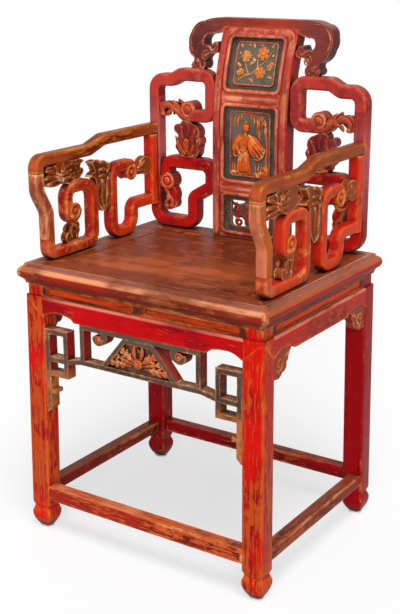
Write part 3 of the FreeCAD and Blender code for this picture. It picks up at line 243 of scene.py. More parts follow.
def lacquer(name, grain, skin=RED, cloud=DEEP, ground=ORANGE, wood=TAN, wear=0.0, clouds=0.0, gloss=0.34,
            sheen=0.07, chips=0.0, edge=1.4, reach=0.007, low=0.0, dirt_and_shade=0.92, deep=0.022,
            faces=(), bands=(), calm=()):
    """Thin lacquer on a ground: clouded, worn through on arrises, where the worn colour also stands for
    painted highlight, dirty in corners and darkened there with painted shade.

    Faces are (axis, colour, wear) for the sides that face along an axis, bands are
    (axis, from, to, fading, colour) by place, calm is (axis, place) of flush joints.
    """
    skin, cloud, ground, wood, soot_and_shade = (tone(*paint) for paint in (skin, cloud, ground, wood, SOOT_AND_SHADE))
    finish = Finish(name)
    along = finish.stretched(*grain)
    slow = finish.noise(finish.place, 6.0, 3.0)
    middling = finish.noise(finish.place, 38.0)
    streak = finish.noise(along, 55.0, 5.0, 0.65)
    fine = finish.noise(along, 240.0, 3.0, 0.7)
    # The arris mask marks lacquer worn through along the edges; the same mark stands for painted
    # highlight there.
    arris = finish.hollow(reach, True)
    arris = arris * (1.0 - finish.step(arris, 0.62, 0.85) * 0.8)
    for where, level in calm:
        arris = arris * finish.step((finish.axis(where) - level).size(), 0.003, 0.01)
    recess = finish.hollow(deep, False)
    warm = tuple(min(1.0, part * 1.3 + 0.003) for part in skin[:3]) + (1.0,)
    colour = finish.mix(finish.step(middling * 0.5 + streak * 0.5, 0.48, 0.62) * 0.6, skin, warm)
    wear_and_edge_highlight = arris * edge + (streak - 0.5) * 2.2 + (middling - 0.5) * 1.8 + (slow - 0.5) * 1.2 + wear
    for where, paint, more in faces:
        facing = finish.step(finish.axis(where, True), 0.6, 0.8)
        patchy = 1.0 - finish.step(slow * 0.5 + streak * 0.5, 0.52, 0.62) * 0.5
        colour = finish.mix(facing * patchy, colour, tone(*paint))
        wear_and_edge_highlight = wear_and_edge_highlight + facing * more
    for where, start, stop, fading, paint in bands:
        place = finish.axis(where) + (middling - 0.5) * fading
        begun, ended = (finish.step(place, side - fading, side + fading) for side in (start, stop))
        whole = 1.0 - finish.step(streak, 0.54, 0.66) * 0.6
        colour = finish.mix((begun - ended) * whole, colour, tone(*paint))
    shade = finish.step(slow * 0.7 + streak * 0.4 + clouds, 0.49, 0.66)
    colour = finish.mix(shade * 0.9, colour, cloud)
    if low:
        wear_and_edge_highlight = wear_and_edge_highlight + finish.step(finish.axis(2), 0.4, 0.05) * low
    thin = finish.step(wear_and_edge_highlight, 0.3, 0.6)
    bare = finish.step(wear_and_edge_highlight, 0.74, 1.05)
    speck = finish.step(fine + (slow - 0.5) * 0.5 + chips, 0.63, 0.69)
    stain = finish.step(fine * 0.5 + middling * 0.3 + slow * 0.2, 0.5, 0.6)
    colour = finish.mix(thin * 0.85, colour, ground)
    colour = finish.mix(bare * 0.85, colour, wood)
    colour = finish.mix(stain * (thin * 0.35 + 0.3), colour, cloud)
    colour = finish.mix(speck * 0.8, colour, ground)
    # Dirt and painted shade: soot where the surroundings close in, in corners, creases and the folds of
    # carving.
    grime_and_shade = finish.step(recess * 1.15 + (middling - 0.5) * 0.7, 0.2, 0.8) * dirt_and_shade
    colour = finish.mix(grime_and_shade, colour, soot_and_shade)
    rough = gloss + (middling - 0.5) * 0.2 + thin * 0.1 + bare * 0.1 + grime_and_shade * 0.2
    height = middling * 0.5 + streak * 0.4 + fine * 0.15 - thin * 0.4 - speck * 0.35
    bump = finish.node("Bump", {}, {"Height": height, "Strength": 0.5, "Distance": 0.0009})
    finish.feed(finish.shader, {
        "Base Color": colour, "Roughness": rough, "Normal": bump, "Specular IOR Level": sheen,
    })
    return finish.material


def mounted(name, bm, material, slot, *nodes):
    """A finished piece from its mesh, which rides on the chair in place of any nodes."""
    mesh = bpy.data.meshes.new(name)
    bm.to_mesh(mesh)
    bm.free()
    mesh.materials.append(material)
    piece = bpy.data.objects.new(name, mesh)
    scene.collection.objects.link(piece)
    if nodes:
        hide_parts(*nodes)
    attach(piece, "root")
    return piece


def worn(node, material, slot="red_lacquer", soft=0.0015, flat=0.008):
    """A piece of the frame with its arrises worn round, in its finish."""
    bm = bmesh.new()
    bm.from_mesh(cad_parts[node].data)
    bmesh.ops.remove_doubles(bm, verts=bm.verts, dist=0.00001)
    bmesh.ops.dissolve_limit(bm, angle_limit=flat, verts=bm.verts, edges=bm.edges)
    bmesh.ops.recalc_face_normals(bm, faces=bm.faces)
    for face in bm.faces:
        face.smooth = True
        face.material_index = 0
    piece = mounted(node + "_worn", bm, material, slot, node)
    carried = piece.data.attributes.get("custom_normal")
    if carried:
        piece.data.attributes.remove(carried)
    rounding = piece.modifiers.new("worn_arrises", "BEVEL")
    rounding.width = soft
    rounding.segments = 3
    rounding.limit_method = "ANGLE"
    rounding.angle_limit = math.radians(28)
    rounding.harden_normals = True


ALONG_X, ALONG_Y, ALONG_Z = (0.09, 1.0, 1.0), (1.0, 0.09, 1.0), (1.0, 1.0, 0.09)
leg_joint = ((2, 0.476),)
front_legs = lacquer("front_leg_lacquer", ALONG_Z, skin=(210, 18, 10), cloud=(130, 6, 14), wear=0.1,
                     chips=0.1, low=0.12, edge=1.7, faces=((0, (184, 28, 8), 0.06),),
                     wood=(228, 134, 66), calm=leg_joint)
rear_legs = lacquer("rear_leg_lacquer", ALONG_Z, skin=(146, 6, 14), cloud=(88, 4, 20), wear=0.02,
                    chips=0.01, reach=0.005, wood=(204, 100, 50),
                    faces=((0, (150, 16, 12), 0.0),), calm=leg_joint)
for side in ("left", "right"):
    worn("front_" + side + "_leg", front_legs, soft=0.002)
    worn("rear_" + side + "_leg", rear_legs, soft=0.002)

# Foot glides: pale plastic buttons nailed under the feet, a little wider than
# the feet's toes, so that a light rim shows above the floor.
glide = Finish("glide_plastic")
scuff = glide.noise(glide.place, 300.0)
glide.feed(glide.shader, {
    "Base Color": glide.mix(glide.step(scuff, 0.4, 0.7), tone(250, 249, 244), tone(226, 220, 208)),
    "Roughness": 0.35 + scuff * 0.3,
    "Normal": glide.node("Bump", {}, {"Height": scuff, "Strength": 0.2, "Distance": 0.0003}),
})
glide_rim, taper, thick = 0.0138, 0.001, 0.0029
foot_x, front_foot_y, rear_foot_y = 0.240, -0.2055, 0.17844
bm = bmesh.new()
for x in (-foot_x, foot_x):
    for y in (front_foot_y, rear_foot_y):
        bmesh.ops.create_cone(bm, cap_ends=True, segments=40, radius1=glide_rim - taper,
                              radius2=glide_rim, depth=thick,
                              matrix=Matrix.Translation((x, y, thick / 2)))
bmesh.ops.recalc_face_normals(bm, faces=bm.faces)
for face in bm.faces:
    face.smooth = len(face.verts) == 4
buttons = mounted("foot_glide_buttons", bm, glide.material, "glide_plastic", "foot_glides")
pressed = buttons.modifiers.new("pressed_rim", "BEVEL")
pressed.width = 0.0007
pressed.segments = 2
pressed.harden_normals = True

# Stretchers: four rails tenoned into the legs just above the feet, their
# tops rubbed down to the ground by shoes.
front_rail = lacquer("front_stretcher_lacquer", ALONG_X, skin=(158, 38, 22), cloud=(92, 16, 14),
                     wear=0.06, ground=(216, 98, 44), wood=(246, 190, 140), chips=0.1,
                     faces=((2, (214, 120, 76), 0.12),))
rear_rail = lacquer("rear_stretcher_lacquer", ALONG_X, skin=(146, 10, 18), cloud=(90, 6, 20), wear=0.04,
                    faces=((2, (170, 60, 36), 0.1),))
side_rail = lacquer("side_stretcher_lacquer", ALONG_Y, skin=(128, 26, 16), cloud=(70, 18, 12), wear=0.08,
                    ground=(180, 82, 34), faces=((2, (132, 60, 32), 0.06),))
for name, material in (
    ("front", front_rail), ("rear", rear_rail), ("left", side_rail), ("right", side_rail),
):
    worn(name + "_stretcher", material)

# Aprons: boards mitred under the waist between the legs, bright red, with a rounded lip along the top,
# rubbed and painted with a pale highlight line, and cusped ends.
# The lip's pale line is wear and a painted highlight.
lip = (2, 0.4712, 0.5, 0.0012, (216, 122, 100))
long_apron = lacquer("apron_lacquer_across", ALONG_X, skin=(192, 8, 14), cloud=(118, 4, 20), wear=-0.06,
                     clouds=0.01, reach=0.006, bands=(lip,))
side_apron = lacquer("apron_lacquer_deep", ALONG_Y, skin=(178, 36, 14), cloud=(112, 14, 12), wear=0.14,
                     reach=0.006, bands=(lip,))
for name, material in (
    ("front", long_apron), ("rear", long_apron), ("left", side_apron), ("right", side_apron),
):
    worn(name + "_apron", material)

# Waist: rails set back between seat and apron, nearly black, with long sunken
# panels painted orange-red.
WAIST = (88, 34, 22)
PANEL_RED = (216, 66, 14)
for name, grain, where, sunk in (
    ("front", ALONG_X, 1, (-0.212, 0.0)),
    ("rear", ALONG_X, 1, (0.0, 0.185)),
    ("left", ALONG_Y, 0, (0.0, 0.249)),
    ("right", ALONG_Y, 0, (0.0, 0.249)),
):
    material = lacquer("waist_lacquer_" + name, grain, skin=WAIST, cloud=(60, 22, 18), wear=-0.06,
                       clouds=-0.06, dirt_and_shade=0.7, bands=((where, *sunk, 0.0003, PANEL_RED),))
    worn(name + "_waist", material, soft=0.0006)

# Seat: a mitred frame with a rounded nose round one wide board, the lacquer worn to brown on top; along
# the nose a pale band of wear and painted highlight, above a dark strip of painted shade.
SEAT_DARK = (88, 36, 20)
CREAM = (230, 170, 122)
MAUVE = (148, 90, 76)
# The nose band's colour: wear and a painted highlight.
NOSE_WEAR_AND_HIGHLIGHT = (226, 146, 100)
board_joints = ((0, 0.193), (1, -0.156), (1, 0.129))
for name, grain, where, nose_end, way, nose_wear_and_highlight in (
    ("front", ALONG_X, 1, 0.2180, -1, NOSE_WEAR_AND_HIGHLIGHT), ("rear", ALONG_X, 1, 0.1910, 1, NOSE_WEAR_AND_HIGHLIGHT),
    ("left", ALONG_Y, 0, 0.2551, 1, (170, 84, 46)), ("right", ALONG_Y, 0, 0.2551, 1, (170, 84, 46)),
):
    top_edge = sorted((way * (nose_end - 0.0072), way * (nose_end - 0.0056)))
    step_down = sorted((way * (nose_end - 0.0066), way * 0.3))
    nose = (
        (where, *step_down, 0.0005, MAUVE), (where, *top_edge, 0.0004, CREAM),
        # The pale band on the nose's upper round is wear and painted highlight.
        (2, 0.5212, 0.529, 0.0018, nose_wear_and_highlight),
        # Below the band the nose is red, and its lowest strip, where it meets the waist, is painted dark:
        # painted shade in the hollow.
        (2, 0.45, 0.5205, 0.0015, (164, 36, 18)), (2, 0.45, 0.5035, 0.0005, (96, 38, 26)),
    )
    rails = lacquer("seat_lacquer_" + name, grain, skin=(140, 62, 32), cloud=SEAT_DARK, wood=CREAM,
                    ground=(190, 92, 48), gloss=0.42, wear=0.06, edge=1.3, bands=nose, calm=board_joints)
    worn(name + "_seat_rail", rails, soft=0.0006)
# The front part of the board is painted lighter orange: a painted highlight.
board = lacquer("seat_board_lacquer", ALONG_X, skin=(122, 48, 24), cloud=SEAT_DARK, ground=(166, 82, 42),
                wood=(190, 112, 66), wear=0.24, gloss=0.4, edge=0.0,
                bands=((1, -0.2, -0.04, 0.06, (178, 86, 42)),))
worn("seat_board", board, "seat_lacquer", 0.0004)
worn("seat_batten", board, "seat_lacquer")

# Fretwork: sticks pinned in squares under the front apron, grey-black on
# their faces, rubbed to tan on top and red between.
EVEN = (1.0, 1.0, 1.0)
fret = lacquer("fretwork_lacquer", EVEN, skin=(92, 74, 62), cloud=(50, 42, 38), ground=(164, 106, 70),
               wood=(222, 172, 132), wear=0.14, gloss=0.5, reach=0.003,
               faces=((0, (150, 14, 16), -0.15), (2, (214, 160, 130), 0.3)),
               bands=((2, 0.15, 0.335, 0.02, (188, 108, 58)),))
for name in ("left_scroll", "right_scroll", "upper_frame", "lower_bar", "centre"):
    worn("fret_" + name, fret, "worn_fretwork", 0.0012)


def smooth(points, closed=False):
    """A place along an even curve through the points, by its share of the way."""
    count = len(points) if closed else len(points) - 1

    def at(share):
        position = min(max(share, 0.0), 1.0) * count
        index = min(int(position), count - 1)
        t = position - index
        around = [
            points[(index + offset) % len(points)] if closed
            else points[min(max(index + offset, 0), len(points) - 1)]
            for offset in (-1, 0, 1, 2)
        ]
        return tuple(
            0.5 * (2 * b + (c - a) * t + (2 * a - 5 * b + 4 * c - d) * t * t
                   + (3 * b - a - 3 * c + d) * t ** 3)
            for a, b, c, d in zip(*around)
        )

    return at


def strand(bm, put, spine, widths, heights, vein=0.0, rings=None, closed=False, around=10):
    """A tapering rounded strand of carving along a spine of (across, up, out) points."""
    spine = [point if len(point) == 3 else (*point, 0.0) for point in spine]
    line = smooth(spine, closed)
    wide = smooth([(width,) for width in widths], closed)
    tall = smooth([(height,) for height in heights], closed)
    rings = rings or 5 * len(spine)
    tip_share, vein_share, step = 0.06, 0.3, 0.002
    made = bmesh.ops.create_grid(bm, x_segments=around, y_segments=rings, size=0.5)["verts"]
    for vertex in made:
        turned = 2 * math.pi * (vertex.co.x + 0.5)
        share = vertex.co.y + 0.5
        cap = 1.0
        if not closed:
            share = 0.5 - 0.5 * math.cos(math.pi * share)
            tip = min(share, 1 - share) / tip_share
            cap = math.sqrt(max(0.0, 1 - (1 - min(tip, 1.0)) ** 2))
        u, v, w = line(share)
        before, after = line(share - step), line(share + step)
        if closed:
            before, after = line((share - step) % 1.0), line((share + step) % 1.0)
        run, rise = after[0] - before[0], after[1] - before[1]
        length = math.hypot(run, rise) or 1.0
        across = max(wide(share)[0], 0.0) * cap * math.cos(turned)
        out = max(tall(share)[0], 0.0) * cap * math.sin(turned)
        if vein and out > 0:
            out *= 1 - vein * math.exp(-(math.cos(turned) / vein_share) ** 2)
        vertex.co = put(u - rise / length * across, v + run / length * across, w + out)
    bmesh.ops.remove_doubles(bm, verts=made, dist=0.00002)


def boss(bm, put, u, v, w, radius, height, flat=1.0):
    """A low round button of carving."""
    made = bmesh.ops.create_uvsphere(bm, u_segments=16, v_segments=8, radius=1.0)["verts"]
    for vertex in made:
        x, y, z = vertex.co
        vertex.co = put(u + radius * x, v + radius * flat * y, w + height * z)


def chisels(bm, put):
    """Two tools for one mesh: a cut of a strand and a knob, both placed by put."""
    return partial(strand, bm, put), partial(boss, bm, put)


def spiral(u, v, outer, inner, start, turns, count=14):
    """Points of a scroll that winds inwards about its eye, angles in turns."""
    points = []
    for index in range(count):
        share = index / (count - 1)
        radius = outer + (inner - outer) * share
        angle = 2 * math.pi * (start + turns * share)
        points.append((u + radius * math.cos(angle), v + radius * math.sin(angle)))
    return points


def petals(bm, put, u, v, w, count, length, width, height, turned=0.0):
    """A rosette of rounded petals round a button."""
    for index in range(count):
        angle = 2 * math.pi * (index / count + turned)
        x, y = math.cos(angle), math.sin(angle)
        spine = [(u + length * share * x, v + length * share * y, w) for share in (0.12, 0.6, 1.0)]
        strand(bm, put, spine, [width * 0.3, width, width * 0.7],
               [height * 0.6, height, height * 0.5], 0.35)
    boss(bm, put, u, v, w, length * 0.3, height * 1.3)


def carving(name, material, slot, build):
    """A piece of carving that rides on the chair; build fills its mesh."""
    bm = bmesh.new()
    build(bm)
    for face in bm.faces:
        face.smooth = True
    bmesh.ops.recalc_face_normals(bm, faces=bm.faces)
    mounted(name, bm, material, slot)


spray = lacquer("spray_lacquer", EVEN, skin=(182, 80, 42), cloud=(112, 46, 30), ground=(204, 114, 64),
                wood=(230, 166, 118), wear=0.06, reach=0.003, deep=0.01)


def fret_front(u, v, w):
    """A place on the fretwork's front; w is out from it."""
    front = -217.03
    return Vector((u, front - w, v)) / 1000


def lobed_leaf(bm, put, foot, tip, width, height, w=0.0):
    """A broad leaf with a hollow midrib and rounded lobes on both sides."""
    along = Vector((tip[0] - foot[0], tip[1] - foot[1]))
    across = Vector((-along.y, along.x)).normalized() * width
    middle = [(foot[0] + along.x * share, foot[1] + along.y * share) for share in (0.0, 0.5, 1.0)]
    spine = [(u, v, w + out) for (u, v), out in zip(middle, (0, 1.2, -0.6))]
    strand(bm, put, spine, [width * 0.3, width * 0.55, width * 0.2],
           [height * 0.8, height, height * 0.4], 0.4)
    for share, reach in ((0.28, 0.8), (0.52, 1.0), (0.76, 0.7)):
        for way in (-1, 1):
            u, v = foot[0] + along.x * share, foot[1] + along.y * share
            end_u = u + along.x * 0.2 + way * across.x * reach
            end_v = v + along.y * 0.2 + way * across.y * reach
            lobe = [(u, v, w), ((u + end_u) / 2, (v + end_v) / 2, w + 0.6), (end_u, end_v, w - 0.8)]
            strand(bm, put, lobe, [width * 0.2, width * 0.38, width * 0.22],
                   [height * 0.6, height * 0.85, height * 0.4], 0.3)


def fret_spray(bm):
    """Lobed leaves that spread from a flower in the trapeze of the fretwork."""
    cut = partial(strand, bm, fret_front)
    for side in (-1, 1):
        for foot, tip, width in (
            ((7, 390), (38, 409), 9.0), ((14, 382), (64, 381), 9.0), ((10, 386), (48, 396), 6.0),
        ):
            lobed_leaf(bm, fret_front, (side * foot[0], foot[1]), (side * tip[0], tip[1]),
                       width, 4.4, -1.5)
        cut([(side * 4, 392, -2), (side * 9, 408, -0.5), (side * 8, 422, -3)], [2.0, 4.0, 2.0],
            [3, 4.0, 2.0], 0.4)
    petals(bm, fret_front, 0, 388, 1.0, 6, 10, 4.4, 3.6, 0.25)


carving("fret_spray", spray, "worn_fretwork", fret_spray)


def fret_curls(bm):
    """The rolled eyes of the two curls that hang in the fretwork."""
    cut, knob = chisels(bm, fret_front)
    eye_u, eye_v = 86.5, 417.5
    for side in (-1, 1):
        cut(spiral(side * eye_u, eye_v, 8.0, 2.0, 0.0, side * 1.3), [2.4, 2.4, 1.8], [1.8, 2.0, 2.0])
        knob(side * eye_u, eye_v, 0, 3.0, 2.4)


carving("fret_curls", spray, "worn_fretwork", fret_curls)

# Brackets: small boards carved as leaf scrolls in the corners under the side
# aprons, glued to leg and apron.
bracket = lacquer("bracket_lacquer", EVEN, skin=(138, 62, 38), cloud=(90, 34, 24), wear=0.08,
                  reach=0.004, deep=0.01)
worn("side_brackets", bracket)


def bracket_scrolls(bm):
    """Leaf scrolls on the outer faces of the brackets."""
    face, front_leg, rear_leg = 253.0, -181.0, 154.0
    eye_u, eye_v = 18, 422
    for side in (-1, 1):
        for end, leg in ((-1, front_leg), (1, rear_leg)):
            def put(u, v, w):
                return Vector((side * (face + w), leg - end * u, v)) / 1000

            cut, knob = chisels(bm, put)
            cut(spiral(eye_u, eye_v, 13, 3, 0.6, 1.3), [3.2, 3.0, 1.8], [1.4, 1.8, 1.8], 0.2)
            cut([(31, 424), (39, 432), (47, 434), (52, 442)], [1.5, 3.6, 3.0, 0.8],
                [1.0, 1.8, 1.8, 0.6], 0.4)
            cut([(10, 409), (20, 404), (28, 407)], [1.2, 3.2, 1.0], [1.0, 1.6, 1.0], 0.3)
            knob(eye_u, eye_v, 0, 3.2, 1.8)


carving("bracket_scrolls", bracket, "red_lacquer", bracket_scrolls)

# Middle of the back: two bent stiles and four rails, each face moulded with a
# bead round every panel and a soft band outside it.
stile = lacquer("stile_lacquer", ALONG_Z, skin=(166, 46, 40), cloud=(112, 24, 34),
                faces=((0, (172, 12, 14), -0.2),))
# A pale stripe painted along the middle of the rails between panels: a painted highlight.
RAIL_HIGHLIGHT = (230, 152, 118)
splat_rail = lacquer("splat_rail_lacquer", ALONG_X, skin=(190, 72, 48), cloud=(130, 24, 22), wear=0.02,
                     ground=(206, 104, 62),
                     bands=((2, 0.8035, 0.812, 0.002, RAIL_HIGHLIGHT), (2, 0.6315, 0.6385, 0.002, RAIL_HIGHLIGHT)))
for name in ("left_stile", "right_stile"):
    worn("splat_" + name, stile)
for name in ("top_rail", "upper_rail", "lower_rail", "foot_rail"):
    worn("splat_" + name, splat_rail)


def back_face(u, v, w):
    """A place on the bent front of the back; w is out from it towards the sitter."""
    front, bend_start, bend_radius = 148.47, 740.0, 500.0
    rise = max(v - bend_start, 0.0)
    depth = bend_radius - math.sqrt((bend_radius + w) ** 2 - rise ** 2)
    return Vector((u, front + depth, v)) / 1000


def window(half, low, high, radius, w):
    """Points of a rounded rectangle on the back's face."""
    points, long_gap = [], 12
    corners = ((half, low, -0.25), (half, high, 0.0), (-half, high, 0.25), (-half, low, 0.5))
    for u, v, start in corners:
        inward_u, inward_v = (-radius if u > 0 else radius), (radius if v == low else -radius)
        for index in range(5):
            angle = 2 * math.pi * (start + 0.25 * index / 4)
            turn_u, turn_v = radius * math.cos(angle), radius * math.sin(angle)
            points.append((u + inward_u + turn_u, v + inward_v + turn_v, w))
    spaced = []
    for index, point in enumerate(points):
        spaced.append(point)
        following = points[(index + 1) % len(points)]
        gap = math.dist(point, following)
        if gap > long_gap:
            for share in (0.04, 0.2, 0.4, 0.6, 0.8, 0.96):
                spaced.append(tuple(a + (b - a) * share for a, b in zip(point, following)))
    return spaced


PANELS = {"lower_panel": (544.0, 624.0), "figure_panel": (647.0, 797.0), "upper_panel": (821.0, 925.0)}


def frame_beads(bm):
    """A rounded bead along the inner arris of the frame round each panel."""
    for low, high in PANELS.values():
        path = window(60.5, low + 1.0, high - 1.0, 11.0, -0.8)
        strand(bm, back_face, path, [4.4] * 3, [3.8] * 3, rings=3 * len(path), closed=True)


# The bead's crest that faces forward is painted paler: a painted highlight along its ridge.
bead = lacquer("bead_lacquer", ALONG_Z, skin=(186, 60, 34), cloud=(132, 20, 20), clouds=0.02,
               ground=(218, 122, 82), wood=(238, 178, 140), reach=0.005, edge=0.7,
               faces=((1, (224, 140, 106), 0.12),))
carving("frame_beads", bead, "red_lacquer", frame_beads)


def frame_bands(bm):
    """The soft outer band of the stiles, turned over the top rail."""
    half, low, top, corner, out = 73.5, 536.0, 930.5, 15.0, -0.6
    shares = (0.0, 0.03, 0.2, 0.4, 0.6, 0.8, 0.97)
    path = [(-half, low + (top - corner - low) * share, out) for share in shares]
    for index in range(6):
        angle = math.pi * (1 - 0.5 * index / 5)
        turn_u, turn_v = corner * math.cos(angle), corner * math.sin(angle)
        path.append((-half + corner + turn_u, top - corner + turn_v, out))
    path += [(u, top, out) for u in (-50, -25)]
    path += [(0, top, out)] + [(-u, v, w) for u, v, w in reversed(path)]
    strand(bm, back_face, path, [7.4] * 3, [3.0] * 3, rings=4 * len(path))


band = lacquer("band_lacquer", ALONG_Z, skin=(178, 66, 56), cloud=(132, 36, 42), wear=0.04,
               ground=(212, 118, 84), wood=(236, 174, 140), edge=0.7, dirt_and_shade=1.0,
               faces=((0, (172, 12, 14), -0.2),))
carving("frame_bands", band, "red_lacquer", frame_bands)

# Panels: thin boards in the frame, dark green-grey; two have a raised field
# with a salmon rim and low relief, the lowest is pierced and carved.
panel = lacquer("panel_paint", EVEN, skin=(100, 96, 84), cloud=(62, 60, 56), ground=(132, 112, 92),
                wood=(170, 142, 116), reach=0.003, sheen=0.2, dirt_and_shade=0.3)
rim_paint = lacquer("rim_paint", EVEN, skin=(190, 94, 66), cloud=(130, 56, 42), ground=(214, 126, 90))
# A short soot reach darkens the relief's folds and creases with dirt and painted shade.
relief = lacquer("relief_paint", EVEN, skin=(208, 82, 26), cloud=(148, 46, 20), ground=(226, 128, 56),
                 wood=(244, 196, 128), wear=0.08, reach=0.003, edge=1.2, deep=0.005)
for name, (low, high) in PANELS.items():
    worn(name, panel, "panel_paint", 0.001)

    def rim(bm, low=low, high=high, name=name):
        out = -9.0 if name == "lower_panel" else -5.0
        path = window(43.8, low + 13.0, high - 13.0, 7.0, out)
        strand(bm, back_face, path, [1.9] * 3, [1.7] * 3, rings=3 * len(path), closed=True, around=8)

    carving(name + "_rim", rim_paint, "panel_paint", rim)


def on_field(u, v, w):
    """A place on the raised field of a panel."""
    sunk = 5.0
    return back_face(u, v, w - sunk)


def flowers(bm):
    """A spray of blossom: a bent branch, three open flowers, buds and leaves."""
    cut, knob = chisels(bm, on_field)
    cut([(-34, 842), (-20, 851), (-4, 856), (8, 868), (22, 880), (33, 898)],
        [2.0, 1.8, 1.6, 1.3, 1.1, 0.6], [1.6, 1.8, 1.8, 1.6, 1.4, 0.8])
    cut([(-12, 853), (-20, 868), (-24, 884), (-20, 902)], [1.5, 1.2, 1.0, 0.5], [1.5, 1.5, 1.3, 0.8])
    cut([(6, 866), (4, 884), (8, 900)], [1.2, 1.0, 0.5], [1.4, 1.3, 0.8])
    petals(bm, on_field, -22, 886, 0.5, 6, 11.0, 4.4, 2.6)
    petals(bm, on_field, 14, 892, 0.5, 6, 12.5, 5.0, 2.8, 0.08)
    petals(bm, on_field, 12, 857, 0.5, 6, 11.5, 4.6, 2.6, 0.03)
    for u, v, angle, length in (
        (-30, 868, 2.6, 12), (-12, 870, 0.6, 11), (-6, 902, 1.9, 11), (30, 876, -0.4, 12),
        (32, 902, 1.1, 9), (-32, 850, 2.2, 12), (-10, 846, -0.7, 12), (28, 850, -0.2, 13),
        (0, 878, 2.4, 9), (-33, 902, 2.0, 8), (26, 864, 0.4, 10),
    ):
        x, y = math.cos(angle), math.sin(angle)
        bend = (u + length * 0.5 * x - y, v + length * 0.5 * y + x)
        tip = (u + length * x, v + length * y)
        cut([(u, v), bend, tip], [0.8, 3.0, 0.3], [0.8, 1.9, 0.4], 0.4)
    petals(bm, on_field, -30, 857, 0.3, 5, 7.0, 3.2, 2.2, 0.1)
    petals(bm, on_field, 32, 868, 0.3, 5, 6.5, 3.0, 2.2, 0.22)
    for u, v in ((34, 908), (-18, 907), (9, 907), (-36, 891), (36, 889)):
        knob(u, v, 0.2, 2.6, 2.0)


blossom = lacquer("blossom_paint", EVEN, skin=(200, 110, 52), cloud=(146, 66, 32), clouds=-0.02,
                  ground=(222, 150, 82), wood=(242, 202, 142), wear=0.1, reach=0.003,
                  edge=1.1, deep=0.005)
carving("flower_relief", blossom, "panel_paint", flowers)


